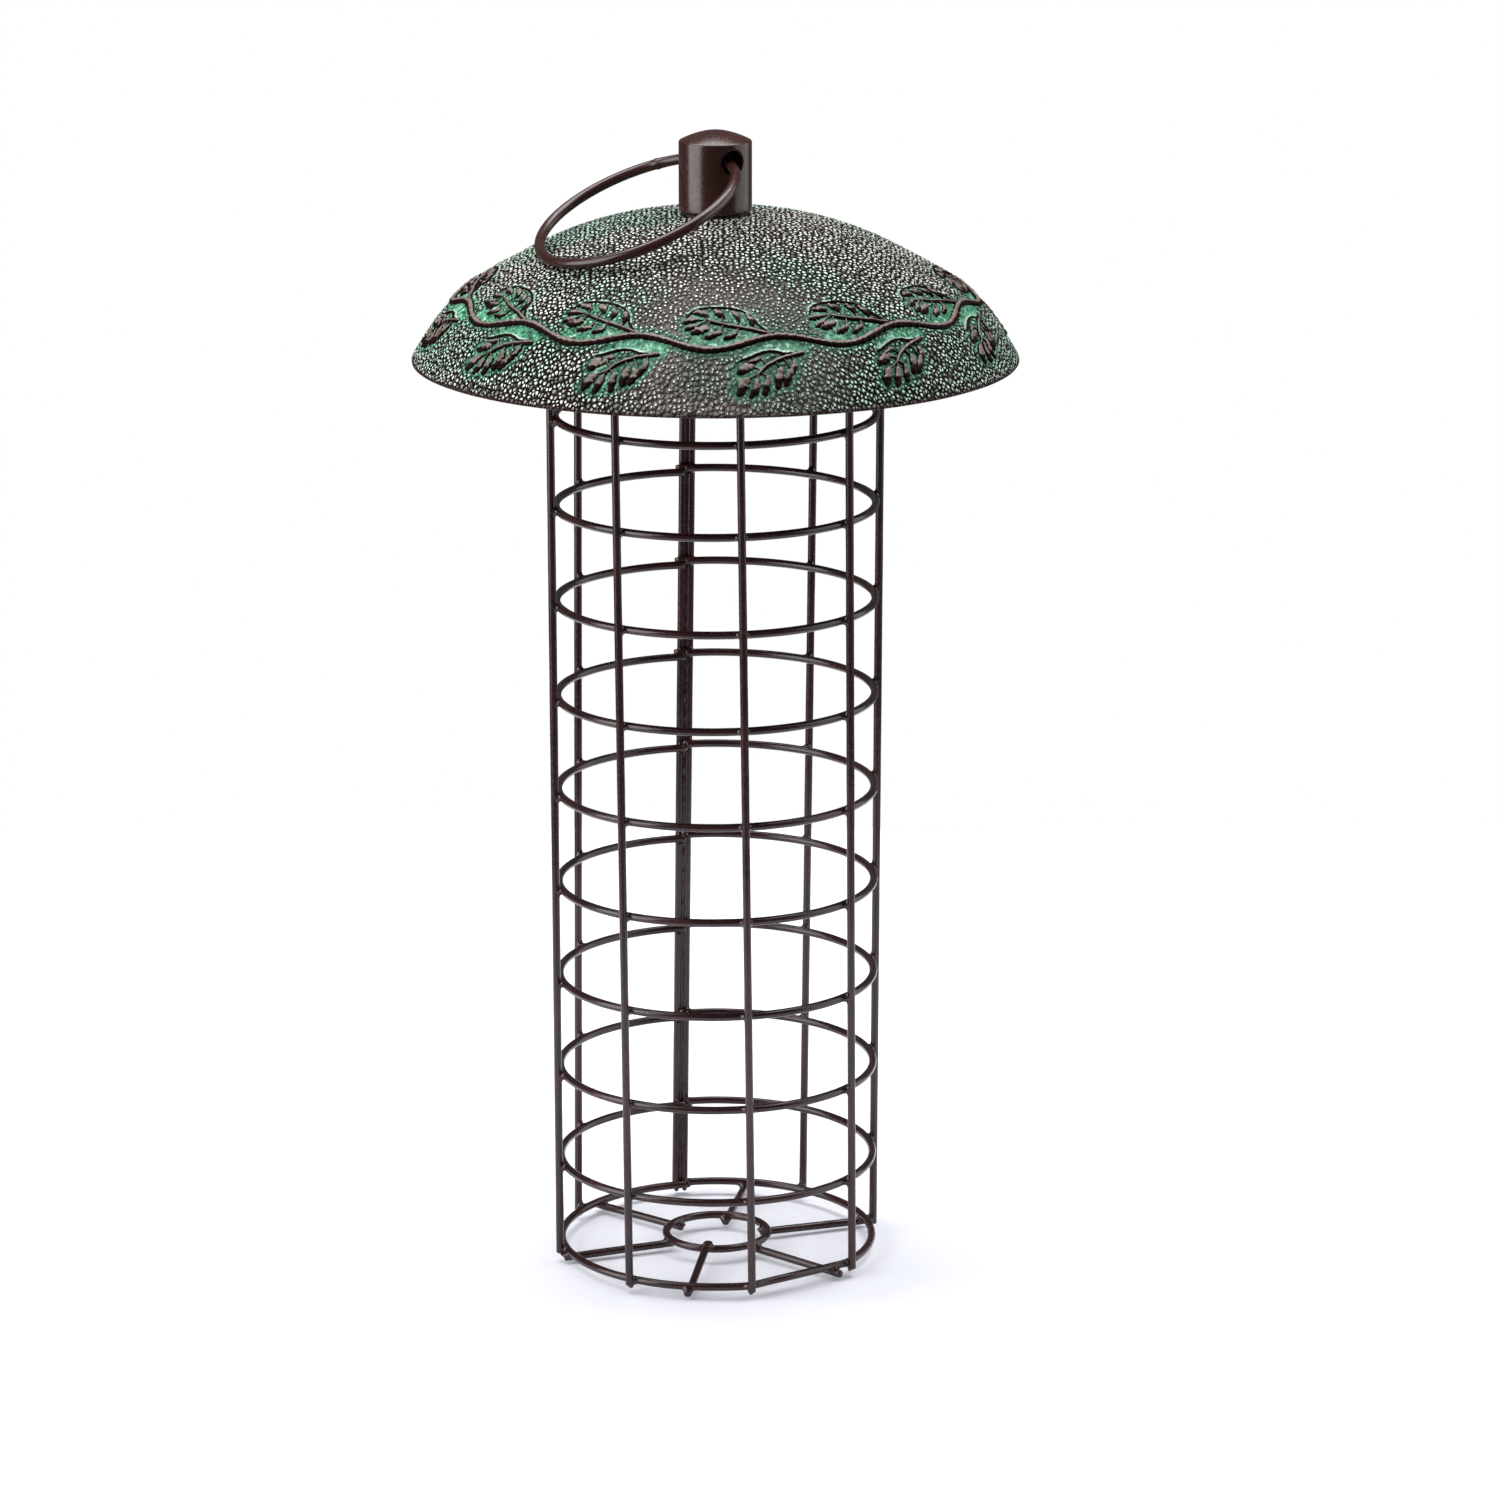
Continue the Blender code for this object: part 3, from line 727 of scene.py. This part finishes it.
def soft_least(first, second, blend):
    """Return the lesser of two distances, with the corner between them rounded over the blend."""
    share = np.maximum(blend - np.abs(first - second), 0.0) / blend
    return np.minimum(first, second) - share**2 * blend / 4


def sphere_template():
    """Return the directions and faces of an even sphere."""
    work = bmesh.new()
    bmesh.ops.create_icosphere(work, subdivisions=3, radius=1.0)
    directions = np.array([vertex.co for vertex in work.verts])
    faces = [[vertex.index for vertex in face.verts] for face in work.faces]
    work.free()
    return directions, faces


def weld(meeting, radius, template, rng):
    """Return a weld between two crossing wires: a small fillet that blends into both."""
    at_first, along_first, at_second, along_second, _ = meeting
    directions, faces = template
    middle = (at_first + at_second) / 2
    across = unit(at_second - at_first)
    blend = rng.uniform(*WELD_BLEND)
    reach = WELD_REACH - WELD_FLATNESS * np.abs(directions @ across)
    steps = np.linspace(0.0, 1.0, WELD_STEPS)[:, None, None] * reach[:, None]
    places = middle + steps * directions
    field = soft_least(
        from_line(places, at_first, along_first, radius),
        from_line(places, at_second, along_second, radius),
        blend,
    )
    lumps = directions @ unit(rng.normal(size=(3, 3))).T
    field += WELD_LUMPS * np.sin(6.0 * lumps).sum(axis=1) / 3
    outside = field > 0.0
    first_out = np.where(outside.any(axis=0), outside.argmax(axis=0), len(steps) - 1)
    distance = steps[first_out, np.arange(len(directions)), 0]
    return middle + distance[:, None] * directions, faces


def welded(first, second):
    """Return whether two kinds of cage wire are welded where they cross."""
    kinds = {first.rstrip("_0123456789"), second.rstrip("_0123456789")}
    rings = {"base_ring", "cage_ring"}
    if kinds & {"cage_wire", "seam_wire_left", "seam_wire_right"}:
        return bool(kinds & rings)
    return "base_spoke" in kinds and bool(kinds & {"base_ring", "base_centre_ring"})


def build_welds(paths, radius, material):
    """Add the welds wherever two wires of the cage cross and touch."""
    rng = np.random.default_rng(SEED)
    template = sphere_template()
    names = list(paths)
    parts = []
    for number, first in enumerate(names):
        for second in names[number + 1 :]:
            if not welded(first, second):
                continue
            meeting = crossing(paths[first][0], paths[second][0])
            if meeting and meeting[4] < WELD_GAP * 2 * radius:
                parts.append(weld(meeting, radius, template, rng))
    points, faces = joined(parts)
    piece("cage_welds", points, faces, material, "cage")


def build_seam(paths, material):
    """Add the uneven bead of weld and paint that fills the groove between the two seam wires."""
    left, up, _ = paths["seam_wire_left"]
    right = paths["seam_wire_right"][0]
    path = smooth_path((left + right) / 2, 4)
    height = path[:, 2]
    uneven = 0.10 * wave(height, SEED + 60, 23.0) + 0.06 * wave(height, SEED + 61, 6.0)
    thickness = SEAM_BEAD * (1.0 + uneven)
    points, faces = tube(path[1:-4], thickness[1:-4], up, SEAM_SIDES)
    piece("seam_bead", points, faces, material, "cage")


# --- canopy


def canopy_profile():
    """Return the dome's outer outline as fine tables of slant, radius, height and outward direction."""
    points = cad_points("canopy")
    highest = {}
    for radius, height in np.stack([np.hypot(points[:, 0], points[:, 1]), points[:, 2]], axis=1).round(2):
        highest[radius] = max(height, highest.get(radius, height))
    hull = []
    for point in sorted(highest.items()):
        while len(hull) >= 2 and turn_of(hull[-2], hull[-1], point) >= 0.0:
            hull.pop()
        hull.append(point)
    hull = np.array(hull)
    slopes = np.gradient(hull[:, 1], hull[:, 0])
    radius = np.linspace(hull[0, 0], hull[-1, 0], OUTLINE_STEPS)
    span = np.clip(np.searchsorted(hull[:, 0], radius, side="right") - 1, 0, len(hull) - 2)
    width = hull[span + 1, 0] - hull[span, 0]
    t = (radius - hull[span, 0]) / width
    start = (1 + 2 * t) * (1 - t) ** 2 * hull[span, 1] + t * (1 - t) ** 2 * width * slopes[span]
    end = t**2 * (3 - 2 * t) * hull[span + 1, 1] + t**2 * (t - 1) * width * slopes[span + 1]
    height = start + end
    along = unit(np.stack([np.gradient(radius), np.gradient(height)], axis=1))
    slant = hull[0, 0] + np.concatenate([[0.0], np.cumsum(np.hypot(np.diff(radius), np.diff(height)))])
    return {"slant": slant, "radius": radius, "height": height, "out": -along[:, 1], "up": along[:, 0]}


def turn_of(a, b, c):
    """Return a positive number where the way from a through b to c turns upwards."""
    return (b[0] - a[0]) * (c[1] - a[1]) - (b[1] - a[1]) * (c[0] - a[0])


def dome_values(profile, slant, *keys):
    """Return the outline's values of these kinds at the slants."""
    return [np.interp(slant, profile["slant"], profile[key]) for key in keys]


def on_canopy(profile, angle, slant, lift):
    """Return points on the dome at these angles and slants, lifted off it by some millimetres."""
    radius, height, out, up = dome_values(profile, slant, "radius", "height", "out", "up")
    radius = radius + lift * out
    turn = np.radians(angle)
    return np.stack([radius * np.sin(turn), -radius * np.cos(turn), height + lift * up], axis=-1)


def stem_line(x):
    """Return the slant of the vine's stem at a distance x from the crest of its repeat."""
    return STEM_SLANT - STEM_SWING * np.cos(math.tau * x / PERIOD)


def leaf_strokes(shift, rng):
    """Return one repeat's strokes, each as (path, widths, height, kind)."""
    strokes = []
    for outline in (UPPER_OUTLINE, LOWER_OUTLINE):
        path = smooth_path(outline, 5)
        strokes.append((path, np.full(len(path), OUTLINE_WIDTH), OUTLINE_HEIGHT, "outline"))
    for midrib, lobes in ((UPPER_MIDRIB, UPPER_LOBES), (LOWER_MIDRIB, LOWER_LOBES)):
        path = smooth_path(midrib, 5)
        strokes.append((path, np.linspace(*MIDRIB_WIDTH, len(path)), MIDRIB_HEIGHT, "midrib"))
        for *points, width in lobes:
            points = np.array(points) + rng.normal(0.0, shift, size=(3, 2))
            lobe = smooth_path(points, 5)
            share = np.linspace(0.0, 1.0, len(lobe))
            widths = width * (0.50 + 0.50 * np.sin(math.pi * np.clip(share * 0.80 + 0.08, 0, 1)))
            strokes.append((lobe, widths, LOBE_HEIGHT, "lobe"))
            root = path[np.linalg.norm(path - points[0], axis=1).argmin()]
            vein = smooth_path([root, (root + points[0]) / 2, points[0]], 3)
            strokes.append((vein, np.full(len(vein), VEIN_WIDTH), VEIN_HEIGHT, "vein"))
    return strokes


def ridge(profile, path, widths, height, crest, kind, rough=0):
    """Return a raised stroke lying on the dome: points, faces and each point's share free of painted shade.
    """
    across = np.array(RIDGE_ACROSS)
    lift = height * np.sqrt(1.0 - across**2) ** RIDGE_FULLNESS
    lift[[0, -1]] = -RIDGE_ROOT
    closed = kind == "stem"
    scale = np.ones(len(path))
    along = along_path(path, closed)
    if closed:
        along[[0, -1]] = along[[1, -2]]
    else:
        ends = along[[0, -1]] * widths[[0, -1], None] / 2
        before = [path[0] - ends[0] * reach for reach in END_REACH]
        after = [path[-1] + ends[1] * reach for reach in END_REACH[::-1]]
        path = np.vstack([before, path, after])
        narrow = np.array(END_WIDTH)
        widths = np.concatenate([widths[0] * narrow, widths, widths[-1] * narrow[::-1]])
        scale = np.concatenate([END_HEIGHT, scale, END_HEIGHT[::-1]])
        along = along_path(path)
    sideways = np.stack([-along[:, 1], along[:, 0]], axis=1)
    row = np.arange(len(path))
    ragged = 2.0 if kind == "lobe" else 1.0
    lumps = 1.0 + LUMPS * ragged * wave(row, SEED + rough, 5.0)
    left = lumps if closed else 1.0 + LEFT_LUMPS * ragged * wave(row, SEED + 200 + rough, 4.0)
    spread = np.where(across < 0.0, left[:, None], lumps[:, None])
    offset = across * widths[:, None] * spread / 2
    x = path[:, :1] + offset * sideways[:, :1]
    slant = path[:, 1:] + offset * sideways[:, 1:]
    low = across * sideways[:, 1:]
    side_scale = 1.0
    if closed:
        ribs = np.sin(math.tau * path[:, 0] / SERRATION)
        side_scale = 1.0 + SERRATION_HEIGHT * ribs[:, None] * np.clip(low, 0.0, 1.0)
    if kind == "lobe":
        middle = (path[:, 1].max() + path[:, 1].min()) / 2
        low = 0.6 * low + 0.7 * ((path[:, 1:] - middle) / 1.8).clip(-1.0, 1.0)
    rise = np.where(lift > 0, lift * (scale * lumps)[:, None] * side_scale, lift)
    angle = crest + np.degrees(x / RELIEF_RADIUS)
    points = on_canopy(profile, angle, slant, rise).reshape(-1, 3)
    # Painted shade darkens the lower side and the foot of each stroke; outline strokes are kept almost
    # wholly dark
    unshaded_share = np.full_like(low, 0.15) if kind == "outline" else (0.50 - low).clip(0.0, 1.0)
    unshaded_share = unshaded_share * np.where(lift > 0.5 * height, 1.0, 0.2)
    columns, rows = len(across), len(path)
    faces = []
    for number in range(rows if closed else rows - 1):
        faces += strip(number * columns, columns, (number + 1) % rows * columns, columns)
    if not closed:
        faces.append(list(range(columns - 1, -1, -1)))
        last = (rows - 1) * columns
        faces.append(list(range(last, last + columns)))
    return points, faces, unshaded_share.ravel()


def build_vine(profile, material):
    """Add the vine: a wavy stem all round the dome, with an upper and a lower leaf at each repeat."""
    rng = np.random.default_rng(SEED)
    x = np.arange(REPEATS * STEM_ROWS) * PERIOD / STEM_ROWS
    turn = math.tau * x / PERIOD
    widths = STEM_WIDTH * (1.0 + 0.10 * np.sin(turn * 3) + 0.06 * np.sin(turn * 7))
    stem = np.stack([x, stem_line(x)], axis=1)
    ridges = [ridge(profile, stem, widths, STEM_HEIGHT, CREST_ANGLE, "stem")]
    for repeat in range(REPEATS):
        crest = CREST_ANGLE + repeat * REPEAT_TURN
        for number, (path, width, height, kind) in enumerate(leaf_strokes(LEAF_SHIFT, rng)):
            ridges.append(ridge(profile, path, width, height, crest, kind, rough=number + repeat))
    points, faces = joined([(points, faces) for points, faces, _ in ridges])
    attributes = {"unshaded_share": np.concatenate([unshaded_share for _, _, unshaded_share in ridges])}
    piece("canopy_vine", points, faces, material, "lid", attributes=attributes)


def near_paths(x, slant, paths):
    """Return how far points lie outside the nearest of several strokes, each (path, width)."""
    nearest = np.full(len(x), FAR)
    for path, width in paths:
        for a, b in zip(path[:-1], path[1:]):
            along = b - a
            t = np.clip(((x - a[0]) * along[0] + (slant - a[1]) * along[1]) / (along @ along), 0.0, 1.0)
            distance = np.hypot(x - a[0] - t * along[0], slant - a[1] - t * along[1]) - width / 2
            np.minimum(nearest, distance, out=nearest)
    return nearest


def faded(distance, start, width):
    """Return a share that is 1 up to the start and falls to 0 over the width."""
    return 1.0 - np.clip((distance - start) / width, 0.0, 1.0)


def vine_ground(angle, slant):
    """Return each place's share of green, of smooth ground, and of the painted highlight just above the
    leaf outlines.
    """
    turn = (angle - CREST_ANGLE + REPEAT_TURN / 2) % REPEAT_TURN - REPEAT_TURN / 2
    x = np.radians(turn) * RELIEF_RADIUS
    strokes, outlines = [], []
    for path, widths, _, kind in leaf_strokes(0.0, np.random.default_rng(SEED)):
        if kind == "outline":
            # The painted highlight sits just above each outline, on its upper side
            outlines.append((path[::2] - np.array([0.0, 0.45]), 0.5))
        elif kind != "vein":
            strokes.append((path[::3], float(widths.mean())))
    fields = [(smooth_path(line, 2), width) for line, width in FIELDS]
    near = np.flatnonzero((slant > VINE_BAND[0]) & (slant < VINE_BAND[1]))
    found = []
    for group in (strokes, fields, outlines):
        outside = np.full(len(x), FAR)
        for move in (-PERIOD, 0.0, PERIOD):
            moved = [(path + np.array([move, 0.0]), width) for path, width in group]
            outside[near] = np.minimum(outside[near], near_paths(x[near], slant[near], moved))
        found.append(outside)
    stem = np.abs(slant - stem_line(x)) - STEM_WIDTH / 2
    leaves, field, outline = found
    green = faded(np.minimum(np.minimum(leaves, stem), field), *GREEN_FADE)
    smooth = faded(np.minimum(leaves + 0.1, np.minimum(field, stem + 0.5)), *SMOOTH_FADE)
    return green, smooth, faded(outline, *OUTLINE_HIGHLIGHT_FADE)


def canopy_rows(profile):
    """Return the rows of the dome's closed skin, each (slant, lift, points in the row)."""
    start, end = profile["slant"][[0, -1]]
    rows = [(s, 0.0, CANOPY_COLUMNS) for s in np.arange(start, MIDDLE_SLANT, CROWN_STEP)]
    rows += [(s, 0.0, CANOPY_COLUMNS * 2) for s in np.arange(MIDDLE_SLANT, DENSE_SLANT, MIDDLE_STEP)]
    rows += [(s, 0.0, CANOPY_COLUMNS * 4) for s in np.linspace(DENSE_SLANT, end - 0.3, DENSE_ROWS)]
    for turn in np.radians(EDGE_TURNS):
        past = SHEET / 2 * math.sin(turn) - 0.3
        rows.append((end + past, SHEET / 2 * (math.cos(turn) - 1.0), CANOPY_COLUMNS * 4))
    rows.append((end - 1.0, -SHEET, CANOPY_COLUMNS * 2))
    rows += [(s, -SHEET, CANOPY_COLUMNS) for s in np.linspace(end - 3.0, start, LINING_ROWS)]
    return rows


def build_canopy(profile, material):
    """Add the dome as one closed skin: hammered outside, with smooth recessed ground round the vine."""
    rows = canopy_rows(profile)
    counts = [row[2] for row in rows]
    starts = np.cumsum([0, *counts]).tolist()
    faces = []
    for row in range(len(rows)):
        after = (row + 1) % len(rows)
        faces += strip(starts[row], counts[row], starts[after], counts[after])
    angle = np.concatenate([np.arange(count) * 360.0 / count for count in counts])
    slant = np.repeat([row[0] for row in rows], counts)
    lift = np.repeat([row[1] for row in rows], counts)
    end = profile["slant"][-1]
    inner = np.minimum(slant, end)
    turn = np.radians(angle)[:, None]
    outwards = np.hstack([np.sin(turn), -np.cos(turn), 0 * turn])
    past = np.maximum(slant - end, 0.0)[:, None]
    rest = on_canopy(profile, angle, inner, lift)
    rest = rest + past * (outwards * profile["up"][-1] - UP * profile["out"][-1])

    outer = lift > -0.02
    green, smooth, outline_highlight = (np.where(outer, share, 0.0) for share in vine_ground(angle, slant))
    lining = lift <= -0.9
    edge = np.where(lining, 1.0, np.clip((slant - end + 1.2) / 0.8, 0.0, 1.0))
    spread = slant[:, None] * outwards
    hill = np.clip((0.70 - probe_pebbles(spread)) / 0.60, 0.0, 1.0)
    hill = hill * hill * (3 - 2 * hill)
    near_edge = np.clip((end - slant) / 1.5, 0.0, 1.0)
    sway = SWAY * wave(angle, SEED + 90, 47.0) * np.clip((slant - 30.0) / 50.0, 0, 1)
    relief = np.where(outer, PEBBLE_HEIGHT * hill * (1 - smooth) - RECESS * smooth, 0.0)
    raised = relief * near_edge + sway
    out, up = (values[:, None] for values in dome_values(profile, inner, "out", "up"))
    points = rest + raised[:, None] * (outwards * out + UP * up)
    shares = {"green": green, "smooth": smooth, "outline_highlight": outline_highlight, "edge": edge}
    attributes = {"rest": rest * MM, "spread": spread * MM, **shares}
    piece("canopy_dome", points, faces, material, "lid", ["canopy"], attributes)


def probe_pebbles(places):
    """Return the pebble texture's distance at each place, so that mesh and material agree."""
    mesh = bpy.data.meshes.new("probe")
    mesh.from_pydata((places * MM).tolist(), [], [])
    item = placed("probe", mesh)
    tree = bpy.data.node_groups.new("probe", "GeometryNodeTree")
    for way in ("INPUT", "OUTPUT"):
        tree.interface.new_socket("Geometry", in_out=way, socket_type="NodeSocketGeometry")
    source = node(tree, "NodeGroupInput").outputs[0]
    cells = pebble_cells(node(tree, "GeometryNodeInputPosition").outputs[0])
    values = {"Geometry": source, "Name": "distance", "Value": cells.outputs["Distance"]}
    store = node(tree, "GeometryNodeStoreNamedAttribute", values)
    node(tree, "NodeGroupOutput", {0: store.outputs[0]})
    item.modifiers.new("probe", "NODES").node_group = tree
    result = item.evaluated_get(bpy.context.evaluated_depsgraph_get()).data
    distance = np.empty(len(places), np.float32)
    result.attributes["distance"].data.foreach_get("value", distance)
    bpy.data.objects.remove(item, do_unlink=True)
    bpy.data.node_groups.remove(tree)
    return distance


# --- knob and hanging ring


def soft_most(first, second, blend):
    """Return the greater of two distances, with the corner between them rounded over the blend."""
    return -soft_least(-first, -second, blend)


def ring_hinge():
    """Return the joint that the hanging ring swings on."""
    return next(joint for joint in frame["joints"] if joint["name"] == "ring_swing")


def knob_shape():
    """Return the knob's measurements, read from its CAD node and the ring's hinge."""
    points = cad_points("knob")
    radius = np.hypot(points[:, 0], points[:, 1])
    hinge = ring_hinge()
    bearing = math.atan2(hinge["axis"][1], hinge["axis"][0]) + math.radians(HOLE_SKEW)
    return {
        "radius": radius.max(),
        "bottom": points[:, 2].min(),
        "side_top": points[radius > radius.max() - 0.02][:, 2].max(),
        "top": points[:, 2].max(),
        "hole": HOLE_LIFT + hinge["pos_m"][2] / MM,
        "bearing": bearing,
        "across": np.array([math.sin(bearing), -math.cos(bearing), 0.0]),
    }


def knob_field(points, shape):
    """Return roughly the distance of points from the knob's surface, below zero inside it."""
    radius = np.hypot(points[..., 0], points[..., 1])
    height = points[..., 2]
    crown = shape["top"] - (shape["top"] - shape["side_top"] - 0.2) * (radius / shape["radius"]) ** 1.8
    body = soft_most(radius - shape["radius"], (height - crown) * 0.93, KNOB_EDGE)
    body = soft_most(body, shape["bottom"] - height, KNOB_FOOT)
    off_axis = np.hypot(points @ shape["across"], height - shape["hole"])
    return soft_most(body, HOLE_RADIUS - off_axis, HOLE_EDGE)


def settle(points, shape, rounds=6):
    """Return the points moved on to the knob's surface."""
    for _ in range(rounds):
        value = knob_field(points, shape)
        slope = [(knob_field(points + step, shape) - value) / 0.02 for step in 0.02 * np.eye(3)]
        slope = np.stack(slope, axis=1)
        points = points - (value / np.maximum((slope**2).sum(axis=1), 0.2))[:, None] * slope
    return points


def cylinder(name, sides, radius, depth, middle=0.0):
    """Return an upright cylinder to cut or be cut, with its middle at this height."""
    mesh = bpy.data.meshes.new(name)
    work = bmesh.new()
    radii = {"radius1": radius * MM, "radius2": radius * MM}
    bmesh.ops.create_cone(work, cap_ends=True, segments=sides, depth=depth * MM, **radii)
    bmesh.ops.translate(work, vec=(0.0, 0.0, middle * MM), verts=work.verts)
    work.to_mesh(mesh)
    work.free()
    return placed(name, mesh)


def build_knob(material):
    """Add the knob: a lathe-turned cylinder with a low crown and a cross hole with eased edges."""
    shape = knob_shape()
    depth = shape["top"] - shape["bottom"] - 1.0
    item = cylinder("blank", KNOB_SIDES, shape["radius"], depth, (shape["top"] + shape["bottom"]) / 2)
    tool = cylinder("drill", HOLE_SIDES, HOLE_RADIUS, DRILL_LENGTH)
    tool.location = (0.0, 0.0, shape["hole"] * MM)
    tool.rotation_euler = (math.pi / 2, 0.0, shape["bearing"] - math.pi / 2)
    boolean = item.modifiers.new("hole", "BOOLEAN")
    boolean.object = tool
    boolean.solver = "EXACT"
    remesh = item.modifiers.new("remesh", "REMESH")
    remesh.mode = "VOXEL"
    remesh.voxel_size = KNOB_VOXEL * MM
    bpy.context.view_layer.update()
    result = item.evaluated_get(bpy.context.evaluated_depsgraph_get()).data
    points = np.empty(len(result.vertices) * 3)
    result.vertices.foreach_get("co", points)
    faces = [list(face.vertices) for face in result.polygons]
    points = settle(points.reshape(-1, 3) / MM, shape)
    bpy.data.objects.remove(item, do_unlink=True)
    bpy.data.objects.remove(tool, do_unlink=True)
    piece("turned_knob", points, faces, material, "knob_and_lock_bar", ["knob"])


def build_hanging_ring(material):
    """Add the hanging ring, a bent wire whose welded joint shows as a slight lump."""
    points = cad_points("hanging_ring")
    centre = points.mean(axis=0)
    normal = np.linalg.svd(points - centre, full_matrices=False)[2][2]
    reach = np.linalg.norm((points - centre) - ((points - centre) @ normal)[:, None] * normal, axis=1)
    radius, wire = (reach.max() + reach.min()) / 2, (reach.max() - reach.min()) / 2
    joint = ring_hinge()
    hinge = np.array(joint["axis"], float)
    towards = unit(np.cross(hinge, normal))
    towards = towards * np.sign(towards @ (np.array(joint["pos_m"]) / MM - centre))
    turn = np.arange(RING_STEPS) * math.tau / RING_STEPS
    path = centre + radius * (np.cos(turn)[:, None] * towards + np.sin(turn)[:, None] * hinge)
    from_joint = (turn - math.radians(JOINT_ANGLE) + math.pi) % math.tau - math.pi
    away = from_joint * radius / JOINT_LENGTH
    lump = JOINT_BULGE * np.exp(-(away**2)) * (1.0 + 0.8 * np.sin(3.0 * away))
    points, faces = tube(path, wire + RING_PAINT + lump, normal, RING_SIDES, closed=True)
    piece("hanging_ring_wire", points, faces, material, "hanger", ["hanging_ring"])


# --- parts under the canopy


def build_eased(node_name, material, ease):
    """Add a copy of a CAD node with its sharp edges rounded, standing for that node."""
    source = frame["nodes"][node_name]
    mesh = source.data.copy()
    mesh.name = f"{node_name}_finished"
    work = bmesh.new()
    work.from_mesh(mesh)
    bmesh.ops.remove_doubles(work, verts=work.verts, dist=0.00002)
    flat = math.radians(2.0)
    bmesh.ops.dissolve_limit(work, angle_limit=flat, verts=work.verts, edges=work.edges)
    work.to_mesh(mesh)
    work.free()
    mesh.materials.clear()
    mesh.materials.append(material)
    item = placed(f"{node_name}_finished", mesh)
    bevel = item.modifiers.new("ease", "BEVEL")
    bevel.width = ease * MM
    bevel.segments = 2
    bevel.limit_method = "ANGLE"
    bevel.angle_limit = math.radians(40.0)
    mesh.shade_smooth()
    weighted = item.modifiers.new("normals", "WEIGHTED_NORMAL")
    weighted.keep_sharp = True
    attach(item, source["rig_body"])
    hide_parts(node_name)


# --- stage


def area_light(name, place, target, width, height, power):
    """Add a soft box at a place, aimed at a target, both in millimetres."""
    data = bpy.data.lights.new(name, "AREA")
    data.shape = "RECTANGLE"
    data.size = width * MM
    data.size_y = height * MM
    data.energy = power
    item = placed(name, data)
    place = np.array(place, float)
    away = unit(place - np.array(target, float))
    item.location = (place * MM).tolist()
    pitch = math.acos(away[2])
    item.rotation_euler = (pitch, 0.0, math.atan2(away[0], -away[1]))


def floor_material():
    """Return plain white paper with a barely visible tooth and a slight glow, as if lit from below."""
    material, tree, shader = new_material("white_floor")
    tooth = noise(object_place(tree), 40.0, 2.0)
    colour = shaded(tooth, 0.3, 0.7, *FLOOR_COLOURS)
    feed(shader, {"Base Color": colour, "Roughness": 0.9, "Specular IOR Level": 0.1})
    feed(shader, {"Emission Color": GLOW_COLOUR, "Emission Strength": FLOOR_GLOW})
    return material


def build_stage():
    """Add the floor, the soft boxes, the white surroundings and the camera."""
    bpy.ops.mesh.primitive_plane_add(size=FLOOR_SIZE * MM, location=(0.0, FLOOR_MIDDLE * MM, 0.0))
    floor = bpy.context.object
    floor.name = "floor"
    floor.data.materials.append(floor_material())

    world = bpy.data.worlds.new("studio")
    bpy.context.scene.world = world
    world.use_nodes = True
    tree = world.node_tree
    tree.nodes.clear()
    seen = node(tree, "ShaderNodeLightPath").outputs["Is Camera Ray"]
    values = {"Value": seen, "To Min": UNSEEN_SURROUNDINGS, "To Max": 1.0}
    strength = node(tree, "ShaderNodeMapRange", values).outputs["Result"]
    back = node(tree, "ShaderNodeBackground", {"Color": (1.0, 1.0, 1.0, 1.0), "Strength": strength})
    node(tree, "ShaderNodeOutputWorld", {"Surface": back.outputs[0]})

    for light in LIGHTS:
        area_light(*light)

    data = bpy.data.cameras.new("photo_camera")
    data.lens = LENS
    data.sensor_width = SENSOR
    data.clip_end = 20.0
    camera = placed("photo_camera", data)
    camera.location = [value * MM for value in CAMERA_PLACE]
    camera.rotation_euler = (math.radians(90.0 - CAMERA_PITCH), 0.0, math.radians(-CAMERA_TURN))
    bpy.context.scene.camera = camera
    bpy.context.scene.view_settings.view_transform = "Standard"


# --- the whole


def build():
    """Build every piece round the frame."""
    brown = paint_material("brown_wire_paint", **WIRE_PAINT)
    red_brown = paint_material("brown_knob_paint", **KNOB_PAINT)
    steel = grained_material("zinc_plated_steel", **STEEL)
    nylon = grained_material("black_nylon", **NYLON)

    paths = cage_paths()
    upright, outwards, _ = paths["cage_wire_1"]
    radius = wire_radius("cage_wire_1", upright[0] + UPRIGHT_SINK * outwards)
    build_wires(paths, radius, brown)
    build_welds(paths, radius, brown)
    build_seam(paths, brown)

    profile = canopy_profile()
    build_canopy(profile, patina_material())
    build_vine(profile, vine_material())
    build_knob(red_brown)
    build_hanging_ring(red_brown)

    for name in ("catch_plate", "locked_stop", "open_stop", "lid_collar"):
        build_eased(name, brown, 0.2)
    for name in ("canopy_washer", "spring_washer", "lock_shaft", "lock_bar", "lock_nut"):
        build_eased(name, steel, 0.15)
    build_eased("knob_washer", nylon, 0.1)
    build_stage()


build()
